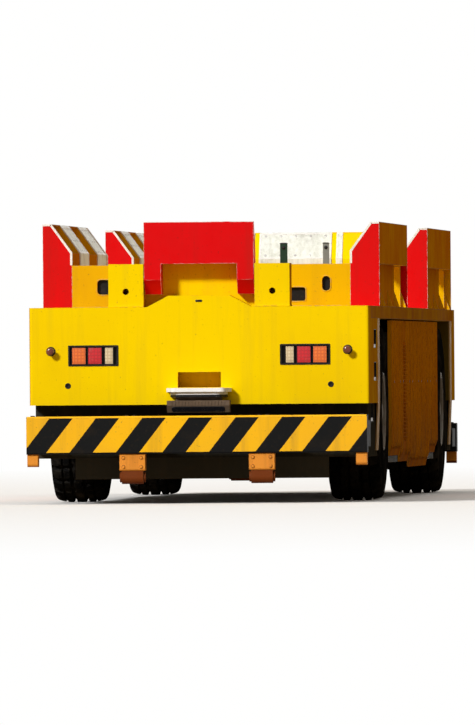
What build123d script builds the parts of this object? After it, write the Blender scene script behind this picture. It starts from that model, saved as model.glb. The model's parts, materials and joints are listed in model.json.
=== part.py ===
from build123d import *
import os

# Automated guided vehicle for port containers, in millimetres.
# +Z is up, +Y runs to the front end, the origin is on the ground below the middle of the body.

# Overall sizes
width = 3000.0
bodyLength = 14000.0  # between the two painted end faces
deckTop = 1730.0
deckDepth = 110.0
deckSkin = 30.0
curbWidth = 120.0
deckRibs = 13
floorRise = 6.0  # load floor above the deck's edges
floorGap = 5.0

# Wheels and axles
tyreDiameter = 1580.0
tyreWidth = 500.0
shoulderWidth = 80.0
shoulderDrop = 55.0
trackInset = 265.0  # outer edge of the deck to the middle of a tyre
kingpinInset = 275.0  # middle of a tyre to its kingpin
rearOverhang = 2655.0  # end face to axle
frontOverhang = 1900.0
bayLength = 2080.0  # open length of a wheel bay
rimSeatRadius = 318.0
rimWall = 18.0
rimLip = 30.0
rimLipWidth = 22.0
rimInset = 20.0  # outer lip behind the tyre's outer side
discFace = 95.0  # outer side of the wheel disc from the tyre's middle
discBack = 55.0
hubCover = 205.0  # outer end of the hub's cover from the tyre's middle
hubCoverWall = 40.0
hubCoverRadius = 170.0
hubStart = -85.0
hubRadius = 112.0
kingpinRadius = 45.0
knuckleBossRadius = 95.0
knuckleBossHeight = 286.0
spindleRadius = 70.0
spindleReach = 155.0  # past the tyre's middle
runningFit = 0.05  # radial clearance of a shaft in its bore
movingGap = 7.0  # clearance between faces that turn past each other
beamHalf = 110.0  # half the side of the square axle beam
beamEnd = 200.0  # kingpin to the beam's end
cheekWidth = 95.0
cheekInset = 110.0  # kingpin to the inner side of its space
yokeReach = 210.0
lugRadius = 128.0
lugThickness = 60.0
driveHalf = 190.0  # radius and half length of the differential housing
motorRadius = 165.0
motorStart = 150.0
motorEnd = 750.0

# Suspension: a strut on the axle and an arm to the bay's end on each side
strutLow = 110.0
strutRadius = 45.0
strutTopRadius = 75.0
armHalf = 40.0
armHeight = 60.0

# Steering
steerArm = 235.0  # kingpin to the pin of the steering rod
steerArmHalf = 34.0
rodRadius = 22.0
rodRise = 52.0  # steering rod above the wheel axis
rodEnd = 75.0  # kingpin to the end of the round rod
eyeHalf = 12.0  # half the thickness of a rod's eye
eyeWall = 14.0
eyeNeck = 90.0
eyeNeckHalf = 20.0
armThickness = 18.0
pinRadius = 20.0
pinPlay = 4.0
pinDrift = 22.0  # how far the arm's pin moves along its slot
barrelHalf = 300.0
barrelRadius = 45.0
barrelFoot = (225.0, 265.0)
barrelFootHalf = 35.0

# Frame
railInner = 300.0
railOuter = 560.0
railDepth = 320.0
crossThickness = 120.0
crossDepth = 120.0
crossCount = 5

# End modules
moduleBottom = 870.0
moduleRound = 25.0  # upright corners of an end face
noseInset = 300.0
noseBottom = 400.0
sideInset = 30.0
crownHeight = 100.0
crownTop = 270.0
crownFoot = 460.0
crownExtra = 50.0  # how far the raised middle runs past the nose's depth
slotWidth = 380.0
slotBottom = 1020.0
slotHeight = 135.0
slotDepth = 260.0
portInset = 340.0
portZ = 1040.0
portRadius = 22.0
fasciaHalf = 550.0  # raised middle of the front face
fasciaBevel = 60.0
fasciaRise = 30.0

# Bumpers
bumperReach = 420.0
bumperThickness = 200.0
rearBumperBottom = 440.0
rearBumperHeight = 330.0
frontBumperBottom = 380.0
frontBumperHeight = 270.0
bumperRound = 14.0
armInner = 480.0
armWidth = 210.0
wingInset = 10.0
wingWidth = 80.0
armInset = 50.0
stripeThickness = 3.0
stripeLean = 0.78  # sideways run of a stripe over its height
rearStripePitch = 410.0
rearStripeCount = 9
frontStripePitch = 212.0
frontStripeCount = 15
stripePhase = 0.575  # share of a pitch that the first stripe starts outside the edge

# Towing eyes and corner blocks
towCentre = 570.0
towHalf = 113.0  # half the width of the upper block and of the eye's bosses
towBlock = 150.0
towDrop = 205.0  # bumper's underside to the eye
towRound = 60.0
towRim = 15.0  # upper block past the eye's round
towStep = 18.0
towEdge = 20.0
towBoss = 46.0
towEyeRadius = 30.0
cornerLug = 95.0
cornerInset = 5.0
cornerHalf = 70.0
cornerDrop = 110.0
cornerRound = 30.0

# Skirt under each nose, between the tyres
skirtHalf = 1120.0
skirtThickness = 20.0
skirtFlange = 60.0
skirtBottom = 215.0

# Boarding steps let into the rear end's flanks
stepStart = 710.0  # end face to the steps
stepLength = 400.0
stepHeight = 165.0
stepDepth = 120.0
stepPlaces = (1440.0, 1150.0, 790.0)  # heights of their middles

# Pale strips along the outer edges of the wheel bays
stripLength = 320.0
stripThickness = 12.0
stripBottom = 450.0
stripBend = 860.0

# Lamps
lampInset = 565.0  # outer edge of the body to the middle of a housing
lampWidth = 440.0
lampHeight = 180.0
lampZ = 1305.0
lampDepth = 60.0
frameWall = 12.0
lensSeat = 20.0  # bottom of a housing behind its lenses
lensInset = 12.0
lensWidths = (  # colour, outer edge, inner edge
    ("amber", -192.0, -66.0),
    ("red", -50.0, 76.0),
    ("white", 98.0, 176.0),
)
headlampInsets = (350.0, 220.0)
headlampRadius = 50.0
headlampZ = 1360.0
headlampDepth = 45.0
headlampRise = 8.0

# Scanner hood, scanners and stop buttons
shelfHalf = 285.0
shelfTop = 1015.0
shelfHeight = 80.0
shelfPlate = 34.0
shelfReach = 230.0
shelfRound = 45.0
shelfTip = 60.0  # how much narrower the hood is at its tip
trayInset = 35.0
trayShort = 30.0
scannerHalf = 276.0
scannerTop = 905.0
scannerBottom = 800.0
scannerReach = 190.0
scannerFace = 45.0
scannerLean = 40.0
neckHalf = 200.0
neckShort = 60.0
frontScannerHalf = 210.0
frontScannerInset = 40.0
scannerGap = 20.0
grooveHalf = 180.0
grooveDepth = 25.0
grooveHeight = 18.0
grooveCount = 3
buttonInset = 190.0
buttonStalk = 26.0
buttonStalkLength = 60.0
buttonHead = 40.0
buttonHeadLength = 35.0
buttonHeights = ((-1, 1345.0), (1, 1080.0))  # outward side, height

# Guides
guideTop = 2480.0
guideInset = 260.0
guideCrest = 75.0
guideSlopeDrop = 255.0
guideBandDrop = 370.0  # height of the upper band of a guide
endPlate = 25.0
guidePlate = 12.0
postDepth = 90.0
postCount = 5
guideRecess = 60.0  # lower panels and posts behind the band
gussetWidth = 52.0
gussetHeight = 150.0
wearThickness = 10.0
wearSpans = ((0.24, 0.48), (0.73, 0.96))  # start and stop along a guide, as shares of its length
rearEndFaces = ((-345.0, 345.0), (410.0, 470.0), (-470.0, -410.0))  # pale strips across the end guides
frontEndFaces = ((-345.0, 345.0), (390.0, 450.0), (-450.0, -390.0))
rearGuideSetback = 1663.0  # end face to the first red plate
rearGuideLength = 4422.0
frontGuideSetback = 551.0
frontGuideLength = 4029.0
endGuideHalf = 485.0
endGuideLeg = 150.0
endGuideLegBottom = 1842.0
endGuideLegLean = 126.0  # height of the slanted foot of a leg
endGuideLegToe = 110.0
endGuideSetback = 30.0
bracketHalf = 800.0
bracketGap = 5.0
uprightInner = 345.0  # the two yellow uprights of the front end
uprightOuter = 635.0
frontBeamDepth = 25.0
frontBeamDrop = 43.0
frontWallTop = 1910.0
frontNotch = {"x": -840.0, "wide": 140.0}
boltHolePlace = 647.0
boltHoleZ = 1867.0
boltHoleRadius = 28.0

# Cross wall; inward is measured from the guide's inner face to the middle of an opening or post
bulkheadTop = 2110.0
bulkheadThickness = 40.0
wallHoles = (
    {"inward": 330.0, "side": -1, "z": 1915.0, "wide": 210.0, "tall": 130.0, "round": 30.0},
    {"inward": 215.0, "side": 1, "z": 1935.0, "wide": 72.0, "tall": 130.0, "round": 34.0},
    {"inward": 480.0, "side": 1, "z": 1842.0, "wide": 160.0, "tall": 120.0, "round": 20.0},
)
wallPosts = ({"inward": 592.0, "wide": 64.0}, {"inward": 215.0, "wide": 55.0})
postHeight = 180.0

# Middle of the vehicle
panelThickness = 50.0
sideBottom = 330.0
tunnelHalf = 620.0
packHalf = 520.0
packSetback = 600.0
packLength = 3300.0
panBottom = 220.0
panDepth = 110.0
doorCount = 5
doorGap = 30.0
doorTopGap = 12.0
doorTurn = 120.0  # height over which a door turns inwards at its foot
doorTurnIn = 25.0
doorFeet = (60.0, 0.0, -55.0, -55.0, 60.0)  # a door's foot over the foot of the boxes behind it
ribCount = 6
ribWidth = 70.0
ribRise = 16.0
ribRoot = 5.0
ventDoor = 1
ventSetback = 270.0
ventLength = 480.0
ventBottom = 520.0
ventTop = 1420.0
ventDepth = 36.0
slatCount = 26
slatThickness = 10.0
slatInset = 4.0
slatRoot = 2.0

# Worked out from the sizes above
half = width / 2
end = bodyLength / 2
rearAxleY = -end + rearOverhang
frontAxleY = end - frontOverhang
rearGuideStart = -end + rearGuideSetback
rearGuideEnd = rearGuideStart + rearGuideLength
frontGuideEnd = end - frontGuideSetback
frontGuideStart = frontGuideEnd - frontGuideLength
deckUnder = deckTop - deckDepth
wheelRadius = tyreDiameter / 2
axleZ = wheelRadius
wheelX = half - trackInset
kingpinX = wheelX - kingpinInset
railTop = deckUnder - crossDepth
railBottom = railTop - railDepth
rearBayStart = rearAxleY - bayLength / 2
rearBayEnd = rearAxleY + bayLength / 2
frontBayStart = frontAxleY - bayLength / 2
frontBayEnd = frontAxleY + bayLength / 2
axles = (("rear", rearAxleY, -1), ("front", frontAxleY, 1))  # name, place, outward side
lampCentre = half - lampInset
lampLow = lampZ - lampHeight / 2
lampHigh = lampZ + lampHeight / 2
guideLow = guideTop - guideBandDrop
guideKnee = guideTop - guideSlopeDrop


def block(x0, x1, y0, y1, z0, z1):
    """A box between two corners, given as pairs along each axis."""
    size = Box(x1 - x0, y1 - y0, z1 - z0)
    return Pos((x0 + x1) / 2, (y0 + y1) / 2, (z0 + z1) / 2) * size


def solidsOf(*shapes):
    """Separate solids that share a node."""
    return Compound(children=[solid for shape in shapes for solid in shape.solids()])


def alongY(outline, y0, y1):
    """An outline of (x, z) points pushed from y0 to y1."""
    wire = Polyline([(x, y0, z) for x, z in outline], close=True)
    return extrude(make_face(wire), amount=y1 - y0, dir=(0, 1, 0))


def alongX(outline, x0, x1):
    """An outline of (y, z) points pushed from x0 to x1."""
    wire = Polyline([(x0, y, z) for y, z in outline], close=True)
    return extrude(make_face(wire), amount=x1 - x0, dir=(1, 0, 0))


def rodZ(x, y, z0, z1, radius):
    return Pos(x, y, (z0 + z1) / 2) * Cylinder(radius, z1 - z0)


def rodX(x0, x1, y, z, radius):
    return Pos((x0 + x1) / 2, y, z) * Rot(0, 90, 0) * Cylinder(radius, x1 - x0)


def rodY(x, y0, y1, z, radius):
    return Pos(x, (y0 + y1) / 2, z) * Rot(90, 0, 0) * Cylinder(radius, y1 - y0)


def turnedX(profile, x, y, z):
    """A profile of (along, radius) points turned about an X axis through the given place."""
    wire = Polyline([(a, r, 0) for a, r in profile], close=True)
    return Pos(x, y, z) * revolve(make_face(wire), axis=Axis.X)


# Frame and deck


def mainFrame():
    """Two long beams, one over each suspension line, joined by the cross members on top of them."""
    frame = block(railInner, railOuter, rearBayStart, frontBayEnd, railBottom, railTop)
    frame += mirror(frame, about=Plane.YZ)
    wide = half - curbWidth
    step = (frontBayStart - rearBayEnd - crossThickness) / (crossCount - 1)
    for index in range(crossCount):
        y0 = rearBayEnd + index * step
        frame += block(-wide, wide, y0, y0 + crossThickness, railTop, deckUnder)
    for y in (rearAxleY, frontAxleY):
        frame += block(-railOuter, railOuter, y - crossThickness, y + crossThickness, railTop, deckUnder)
    return frame


def loadDeck():
    y0, y1 = -end + noseInset, end - noseInset
    deck = block(-half, half, y0, y1, deckTop - deckSkin, deckTop)
    for side in (-1, 1):
        x0, x1 = sorted((side * (half - curbWidth), side * half))
        deck += block(x0, x1, y0, y1, deckUnder, deckTop - deckSkin)
    step = (y1 - y0 - curbWidth) / (deckRibs - 1)
    for index in range(deckRibs):
        start = y0 + index * step
        rib = block(curbWidth - half, half - curbWidth, start, start + curbWidth, deckUnder, deckTop - deckSkin)
        deck += rib
    floorHalf = half - guideInset - floorGap
    floorEnd = end - endGuideSetback - guideInset - bulkheadThickness - floorGap
    floorStart = rearGuideStart + bulkheadThickness + floorGap
    deck += block(-floorHalf, floorHalf, floorStart, floorEnd, deckTop, deckTop + floorRise)
    return deck


# End modules


def crown(outward):
    """Raised middle of an end's top edge."""
    top = deckTop + crownHeight
    outline = ((-crownFoot, deckTop), (crownFoot, deckTop), (crownTop, top), (-crownTop, top))
    y0, y1 = sorted((outward * end, outward * (end - noseInset + crownExtra)))
    return alongY(outline, y0, y1)


def endModule(outward, inner):
    """Painted housing of one end, from its face to the wheel bay."""
    face = outward * end
    y0, y1 = sorted((face, outward * (end - noseInset)))
    z0, z1 = sorted((outward * (end - noseInset), inner))
    shell = block(-half, half, y0, y1, moduleBottom, deckTop)
    shell = fillet(shell.edges().filter_by(Axis.Z).group_by(Axis.Y)[-1 if outward > 0 else 0], moduleRound)
    shell += block(-half, half, z0, z1, moduleBottom, deckUnder)
    shell += crown(outward)
    s0, s1 = sorted((inner, inner + outward * stripLength))
    for side in (-1, 1):
        x0, x1 = sorted((side * (half - stripThickness), side * (half + 1)))
        shell -= block(x0, x1, s0, s1, moduleBottom - 1, deckUnder + 1)
    return shell


def stepHoles():
    """What is taken out of the rear end's flanks for the boarding steps."""
    y0 = -end + stepStart
    holes = []
    for side in (-1, 1):
        x0, x1 = sorted((side * (half - stepDepth), side * (half + 1)))
        for z in stepPlaces:
            holes.append(block(x0, x1, y0, y0 + stepLength, z - stepHeight / 2, z + stepHeight / 2))
    return holes


def rearModule():
    shell = endModule(-1, rearBayStart)
    for side in (-1, 1):
        x = side * lampCentre
        shell -= block(x - lampWidth / 2, x + lampWidth / 2, -end - 1, -end + lampDepth, lampLow, lampHigh)
        shell -= rodY(side * (half - portInset), -end - 1, -end + lampDepth, portZ, portRadius)
    high = slotBottom + slotHeight
    shell -= block(-slotWidth / 2, slotWidth / 2, -end - 1, -end + slotDepth, slotBottom, high)
    for hole in stepHoles():
        shell -= hole
    return shell


def frontModule():
    shell = endModule(1, frontBayEnd)
    inner, outer, rise = fasciaHalf - fasciaBevel, fasciaHalf, end + fasciaRise
    plan = ((-outer, end), (-inner, rise), (inner, rise), (outer, end))
    raised = Polyline([(x, y, moduleBottom) for x, y in plan], close=True)
    shell += extrude(make_face(raised), amount=deckTop - moduleBottom, dir=(0, 0, 1))
    for side in (-1, 1):
        for inset in headlampInsets:
            shell -= rodY(side * (half - inset), end - headlampDepth, end + 1, headlampZ, headlampRadius)
    return shell


def noseBox(outward, inner):
    """Dark lower box of an end, set back under the painted housing, with a skirt between the tyres."""
    face = outward * (end - noseInset)
    y0, y1 = sorted((face, inner))
    nose = block(-half + sideInset, half - sideInset, y0, y1, noseBottom, moduleBottom)
    y0, y1 = sorted((face, face - outward * skirtThickness))
    nose += block(-skirtHalf, skirtHalf, y0, y1, skirtBottom, noseBottom)
    y0, y1 = sorted((face, face - outward * skirtFlange))
    nose += block(-skirtHalf, skirtHalf, y0, y1, skirtBottom, skirtBottom + skirtThickness)
    if outward < 0:
        for hole in stepHoles():
            nose -= hole
    return nose


def bayStrips():
    """Pale strips at the outer edges of the wheel bays, bent inwards low down."""
    outer, inner = half, half - stripThickness
    foot = half - sideInset
    profile = (
        (outer, deckUnder), (outer, stripBend), (foot + stripThickness, stripBottom),
        (foot, stripBottom), (inner, stripBend), (inner, deckUnder),
    )
    pieces = []
    for outward, edge in ((-1, rearBayStart), (1, frontBayEnd)):
        y0, y1 = sorted((edge, edge + outward * stripLength))
        strip = alongY(profile, y0, y1)
        pieces += [strip, mirror(strip, about=Plane.YZ)]
    return solidsOf(*pieces)


# Bumpers


def bumper(outward, bottom, height):
    """Cross beam with rounded edges, on two pairs of arms from the module."""
    front = outward * (end + bumperReach)
    back = outward * (end + bumperReach - bumperThickness)
    y0, y1 = sorted((front, back))
    bar = block(-half, half, y0, y1, bottom, bottom + height)
    bar = fillet(bar.edges().filter_by(Axis.X).group_by(Axis.Y)[-1 if outward > 0 else 0], bumperRound)
    a0, a1 = sorted((back, outward * (end - noseInset)))
    for side in (-1, 1):
        for inner, outer in ((armInner, armInner + armWidth), (half - wingInset - wingWidth, half - wingInset)):
            x0, x1 = sorted((side * inner, side * outer))
            bar += block(x0, x1, a0, a1, bottom + armInset, bottom + height - armInset)
    return bar


def stripes(outward, bottom, height, pitch, count):
    """Slanted yellow bands on the flat of a bumper's face."""
    front = outward * (end + bumperReach)
    y0, y1 = sorted((front, front + outward * stripeThickness))
    low, high = bottom + bumperRound, bottom + height - bumperRound
    lean = (high - low) * stripeLean
    face = block(-half, half, y0 - 1, y1 + 1, low, high)
    bands = []
    for index in range(count):
        start = -half + (index - stripePhase) * pitch
        stop = start + pitch / 2
        outline = ((start, low), (stop, low), (stop + lean, high), (start + lean, high))
        bands.append(alongY(outline, y0, y1) & face)
    return solidsOf(*bands)


def towLug(x, y, bottom):
    """Block under a bumper that narrows to an eye across, with a boss at each side of the eye."""
    eye = bottom - towDrop
    depth = towRound + towRim
    lug = block(x - towHalf, x + towHalf, y - depth, y + depth, bottom - towBlock, bottom)
    lug = fillet(lug.edges().filter_by(Axis.X).group_by(Axis.Z)[0], towEdge)
    inner = towHalf - towStep
    lug += block(x - inner, x + inner, y - towRound, y + towRound, eye, bottom - towBlock / 2)
    lug += rodX(x - inner, x + inner, y, eye, towRound)
    lug += rodX(x - towHalf, x + towHalf, y, eye, towBoss)
    return lug - rodX(x - towHalf - 1, x + towHalf + 1, y, eye, towEyeRadius)


def cornerBlock(side, y, bottom):
    outer = half - cornerInset
    x0, x1 = sorted((side * outer, side * (outer - cornerLug)))
    lug = block(x0, x1, y - cornerHalf, y + cornerHalf, bottom - cornerDrop, bottom)
    return fillet(lug.edges().filter_by(Axis.X).group_by(Axis.Z)[0], cornerRound)


def towLugs():
    """Two towing eyes and two corner blocks under each bumper."""
    pieces = []
    for outward, bottom in ((-1, rearBumperBottom), (1, frontBumperBottom)):
        y = outward * (end + bumperReach - bumperThickness / 2)
        for side in (-1, 1):
            pieces.append(towLug(side * towCentre, y, bottom))
            pieces.append(cornerBlock(side, y, bottom))
    return solidsOf(*pieces)


# Lamps, scanners and buttons


def lampHousings():
    pieces = []
    for side in (-1, 1):
        x = side * lampCentre
        inner = lampWidth / 2 - frameWall
        y0, y1 = -end, -end + lampDepth
        tray = block(x - lampWidth / 2, x + lampWidth / 2, y0, y1, lampLow, lampHigh)
        tray -= block(x - inner, x + inner, y0 - 1, y1 - lensSeat, lampLow + frameWall, lampHigh - frameWall)
        pieces.append(tray)
    return solidsOf(*pieces)


def lenses(colour):
    """Lenses of one colour in both housings, taken from the table of widths."""
    limit = lampWidth / 2 - frameWall
    pieces = []
    for name, outer, inner in lensWidths:
        for side in (-1, 1) if name == colour else ():
            centre = side * lampCentre
            edges = sorted((centre - side * outer, centre - side * inner))
            x0, x1 = max(edges[0], centre - limit), min(edges[1], centre + limit)
            y0, y1 = -end + lensInset, -end + lampDepth - lensSeat
            pieces.append(block(x0, x1, y0, y1, lampLow + frameWall, lampHigh - frameWall))
    return solidsOf(*pieces)


def headlamps():
    pieces = []
    for side in (-1, 1):
        for inset in headlampInsets:
            x = side * (half - inset)
            pieces.append(rodY(x, end - headlampDepth, end + headlampRise, headlampZ, headlampRadius))
    return solidsOf(*pieces)


def rounded(outline, z0, z1, radius):
    """A slab between two heights over an (x, y) outline, its outer upright corners rounded."""
    wire = Polyline([(x, y, z0) for x, y in outline], close=True)
    slab = extrude(make_face(wire), amount=z1 - z0, dir=(0, 0, 1))
    corners = [edge for edge in slab.edges().filter_by(Axis.Z) if edge.center().Y < -end - 1]
    return fillet(corners, radius)


def hoodOutline(side, reach):
    """Plan of the hood as (x, y) points, narrower over its outer half."""
    bend, tip = -end - reach / 2, side - shelfTip
    return ((-side, -end), (side, -end), (side, bend), (tip, -end - reach), (-tip, -end - reach), (-side, bend))


def scannerHood():
    """White shelf over the rear scanner, a wider top plate on a narrower tray."""
    low, step = shelfTop - shelfHeight, shelfTop - shelfPlate
    plate = rounded(hoodOutline(shelfHalf, shelfReach), step, shelfTop, shelfRound)
    return plate + rounded(hoodOutline(shelfHalf - trayInset, shelfReach - trayShort), low, step, shelfRound)


def scanners():
    """Rear scanner under its hood, and the grooved front one in the gap over the bumper."""
    neck = block(-neckHalf, neckHalf, -end - scannerReach + neckShort, -end, scannerTop, shelfTop - shelfHeight)
    face = -end - scannerReach
    outline = (
        (-end, scannerTop), (face, scannerTop), (face, scannerTop - scannerFace),
        (face + scannerLean, scannerBottom), (-end, scannerBottom),
    )
    rear = alongX(outline, -scannerHalf, scannerHalf) + neck
    low = frontBumperBottom + frontBumperHeight + scannerGap
    face = end - frontScannerInset
    front = block(-frontScannerHalf, frontScannerHalf, end - noseInset, face, low, moduleBottom)
    step = (moduleBottom - low) / (grooveCount + 1)
    for index in range(grooveCount):
        z = low + (index + 1) * step
        z0, z1 = z - grooveHeight / 2, z + grooveHeight / 2
        front -= block(-grooveHalf, grooveHalf, face - grooveDepth, face + 1, z0, z1)
    return solidsOf(rear, front)


def stopButtons():
    pieces = []
    for outward, z in buttonHeights:
        face = outward * end
        for side in (-1, 1):
            x, neck = side * (half - buttonInset), face + outward * buttonStalkLength
            button = rodY(x, min(face, neck), max(face, neck), z, buttonStalk)
            y0, y1 = sorted((neck, neck + outward * buttonHeadLength))
            pieces.append(button + rodY(x, y0, y1, z, buttonHead))
    return solidsOf(*pieces)


# Side guides


def guideOutline(side):
    """Cross-section of a side guide as (x, z) points, outer side first."""
    crest, inner = half - guideCrest, half - guideInset
    points = ((half, deckTop), (half, guideTop), (crest, guideTop), (inner, guideKnee), (inner, deckTop))
    return tuple((side * x, z) for x, z in points)


def guideBand(side, y0, y1):
    """Upper band of a side guide: outer wall, crest, floor and the low inner wall behind the wear plates."""
    outer, crest, inner = half, half - guideCrest, half - guideInset + wearThickness
    wall = guidePlate
    wrap = (
        (outer, guideLow), (outer, guideTop), (crest, guideTop), (crest, guideTop - wall),
        (outer - wall, guideTop - wall), (outer - wall, guideLow + wall), (inner + wall, guideLow + wall),
        (inner + wall, guideKnee), (inner, guideKnee), (inner, guideLow),
    )
    return alongY(tuple((side * x, z) for x, z in wrap), y0, y1)


def sideGuide(side, start, stop):
    """Band, ribs under the wear plates, and the posts, gussets and lower panels that carry it."""
    y0, y1 = start + endPlate, stop - endPlate
    outer, crest, inner = half, half - guideCrest, half - guideInset + wearThickness
    back = outer - guideRecess
    guide = guideBand(side, y0, y1)
    rib = (
        (outer - guidePlate, guideLow + 1), (outer - guidePlate, guideTop - 1), (crest, guideTop - guidePlate),
        (inner, guideKnee), (inner, guideLow + 1),
    )
    rib = tuple((side * x, z) for x, z in rib)
    length = stop - start
    for first, last in wearSpans:
        for place in (start + first * length, start + last * length - guidePlate):
            guide += alongY(rib, place, place + guidePlate)
    gusset = ((back, deckTop), (back + gussetWidth, deckTop), (back, deckTop + gussetHeight))
    gusset = tuple((side * x, z) for x, z in gusset)
    step = (y1 - y0 - postDepth) / (postCount - 1)
    x0, x1 = sorted((side * inner, side * back))
    for index in range(postCount):
        place = y0 + index * step
        guide += block(x0, x1, place, place + postDepth, deckTop, guideLow)
        guide += alongY(gusset, place + postDepth / 2, place + postDepth / 2 + guidePlate)
    x0, x1 = sorted((side * back, side * (back - guidePlate)))
    guide += block(x0, x1, y0, y1 - step, deckTop, guideLow)
    return guide


def redEndPlates():
    """Red plates that close the side guides, but for the foremost ones, which are yellow like the guides."""
    pieces = []
    for side in (-1, 1):
        for start in (rearGuideStart, rearGuideEnd - endPlate, frontGuideStart):
            pieces.append(alongY(guideOutline(side), start, start + endPlate))
    return solidsOf(*pieces)


def wearOutline(crest, inner, sign):
    """Slanted plate with a short upright foot, as (distance, height) points; sign is +1 where inner grows."""
    back = inner - sign * wearThickness
    return (
        (crest, guideTop), (inner, guideKnee), (inner, guideLow), (back, guideLow),
        (back, guideKnee), (crest, guideTop - guidePlate),
    )


def wearPlates():
    """Pale plates that a container slides down, on the side guides and across the end guides."""
    pieces = []
    for side in (-1, 1):
        outline = wearOutline(side * (half - guideCrest), side * (half - guideInset), -side)
        for start, stop in ((rearGuideStart, rearGuideEnd), (frontGuideStart, frontGuideEnd)):
            length = stop - start
            for first, last in wearSpans:
                pieces.append(alongY(outline, start + first * length, start + last * length))
    for outward, spans in ((-1, rearEndFaces), (1, frontEndFaces)):
        face = outward * (end - endGuideSetback)
        outline = wearOutline(face - outward * guideCrest, face - outward * guideInset, -outward)
        for x0, x1 in spans:
            pieces.append(alongX(outline, x0, x1))
    return solidsOf(*pieces)


# End guides


def rearEndGuide():
    """Red guide across the rear end, a slanted head on two legs."""
    face = endGuideSetback - end
    back = face + guideInset - wearThickness
    crest = face + guideCrest
    head = (
        (face, guideLow), (face, guideTop), (crest, guideTop), (crest, guideTop - guidePlate),
        (back, guideKnee), (back, guideLow),
    )
    guide = alongX(head, -endGuideHalf, endGuideHalf)
    foot = endGuideLegBottom
    leg = (
        (face, guideLow), (face, foot + endGuideLegLean), (face + endGuideLegToe, foot),
        (back, foot), (back, guideLow),
    )
    for side in (-1, 1):
        x0, x1 = sorted((side * (endGuideHalf - endGuideLeg), side * endGuideHalf))
        guide += alongX(leg, x0, x1)
    return guide


def frontBeam():
    """Slim red beam behind the pale plate between the front end's uprights."""
    face = end - endGuideSetback
    back, crest = face - guideInset + wearThickness, face - guideCrest
    inner, top = back + frontBeamDepth, guideTop - guidePlate
    outline = (
        (crest, top), (back, guideKnee), (back, guideLow), (inner, guideLow),
        (inner, guideKnee - wearThickness), (crest, top - frontBeamDrop),
    )
    return alongX(outline, -uprightInner, uprightInner)


def rearBracket():
    """Yellow stand of the rear end guide, a plate behind it and an upright at each side."""
    face = endGuideSetback - end
    back = face + guideInset
    stand = block(-bracketHalf, bracketHalf, back - wearThickness, back + bulkheadThickness, deckTop, guideLow)
    for side in (-1, 1):
        x0, x1 = sorted((side * (endGuideHalf + bracketGap), side * bracketHalf))
        upright = block(x0, x1, face, back, deckTop, guideLow)
        upright -= rodY(side * boltHolePlace, face - 1, back + 1, boltHoleZ, boltHoleRadius)
        stand += upright
    return stand


def frontBracket():
    """Yellow uprights of the front end with slanted inner tops, on a low wall between the side guides."""
    face = end - endGuideSetback
    back, crest = face - guideInset, face - guideCrest
    inner = back + wearThickness
    profile = (
        (face, deckTop), (face, guideTop), (crest, guideTop), (crest, guideTop - guidePlate),
        (inner, guideKnee), (inner, deckTop),
    )
    wide = half - guideInset
    stand = block(-wide, wide, back - bulkheadThickness, inner, deckTop, frontWallTop)
    for side in (-1, 1):
        x0, x1 = sorted((side * uprightInner, side * uprightOuter))
        stand += alongX(profile, x0, x1)
    stand -= crown(1)
    x, w = frontNotch["x"], frontNotch["wide"] / 2
    return stand - block(x - w, x + w, back - bulkheadThickness - 1, inner + 1, deckTop, frontWallTop + 1)


def rearBulkhead():
    inner = half - guideInset
    y0 = rearGuideStart
    y1 = y0 + bulkheadThickness
    wall = block(-inner, inner, y0, y1, deckTop, bulkheadTop)
    for hole in wallHoles:
        x = hole["side"] * (inner - hole["inward"])
        w, h = hole["wide"] / 2, hole["tall"] / 2
        cut = block(x - w, x + w, y0 - 1, y1 + 1, hole["z"] - h, hole["z"] + h)
        wall -= fillet(cut.edges().filter_by(Axis.Y), hole["round"])
    return wall


def deckPosts():
    """Two short sensor posts on the cross wall, on the right."""
    y0 = rearGuideStart
    pieces = []
    for post in wallPosts:
        x = half - guideInset - post["inward"]
        w = post["wide"] / 2
        pieces.append(block(x - w, x + w, y0, y0 + bulkheadThickness, bulkheadTop, bulkheadTop + postHeight))
    return solidsOf(*pieces)


# Middle of the vehicle


def sideModules():
    """Closed equipment boxes on both sides of the tunnel."""
    inner = half - panelThickness
    right = block(tunnelHalf, inner, rearBayEnd, frontBayStart, sideBottom, railTop)
    return solidsOf(right, mirror(right, about=Plane.YZ))


def vent(door, y0):
    """A door with an opening let in and a ladder of thin slats across it."""
    x1 = half + 1
    x0 = half - ventDepth
    door -= block(x0, x1, y0, y0 + ventLength, ventBottom, ventTop)
    step = (ventTop - ventBottom) / slatCount
    slats = []
    for index in range(slatCount - 1):
        z = ventBottom + (index + 1) * step
        z0, z1 = z - slatThickness / 2, z + slatThickness / 2
        slats.append(block(x0 - slatRoot, half - slatInset, y0 - slatRoot, y0 + ventLength + slatRoot, z0, z1))
    return door.fuse(*slats)


def sideDoor(index, y0, length):
    """One door of the right side, ribbed upright and turned inwards at its foot."""
    inner, face, outer = half - panelThickness, half - ribRise, half
    low, high = sideBottom + doorFeet[index], deckUnder - doorTopGap
    outline = ((inner, low), (inner, high), (face, high), (face, low + doorTurn), (face - doorTurnIn, low))
    body = alongY(outline, y0, y0 + length)
    pitch = length / ribCount
    ribs = []
    for place in range(ribCount):
        start = y0 + place * pitch + (pitch - ribWidth) / 2
        if index == ventDoor and y0 + ventSetback - ribWidth < start < y0 + ventSetback + ventLength:
            continue
        root = face - ribRoot
        outline = ((root, high), (outer, high), (outer, low + doorTurn), (root, low + doorTurn / 2))
        ribs.append(alongY(outline, start, start + ribWidth))
    body = body.fuse(*ribs)
    return vent(body, y0 + ventSetback) if index == ventDoor else body


def sideDoors():
    """Rows of ribbed doors along both sides between the wheel bays."""
    length = (frontBayStart - rearBayEnd - doorGap * (doorCount - 1)) / doorCount
    pieces = []
    for index in range(doorCount):
        door = sideDoor(index, rearBayEnd + index * (length + doorGap), length)
        pieces += [door, mirror(door, about=Plane.YZ)]
    return solidsOf(*pieces)


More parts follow.
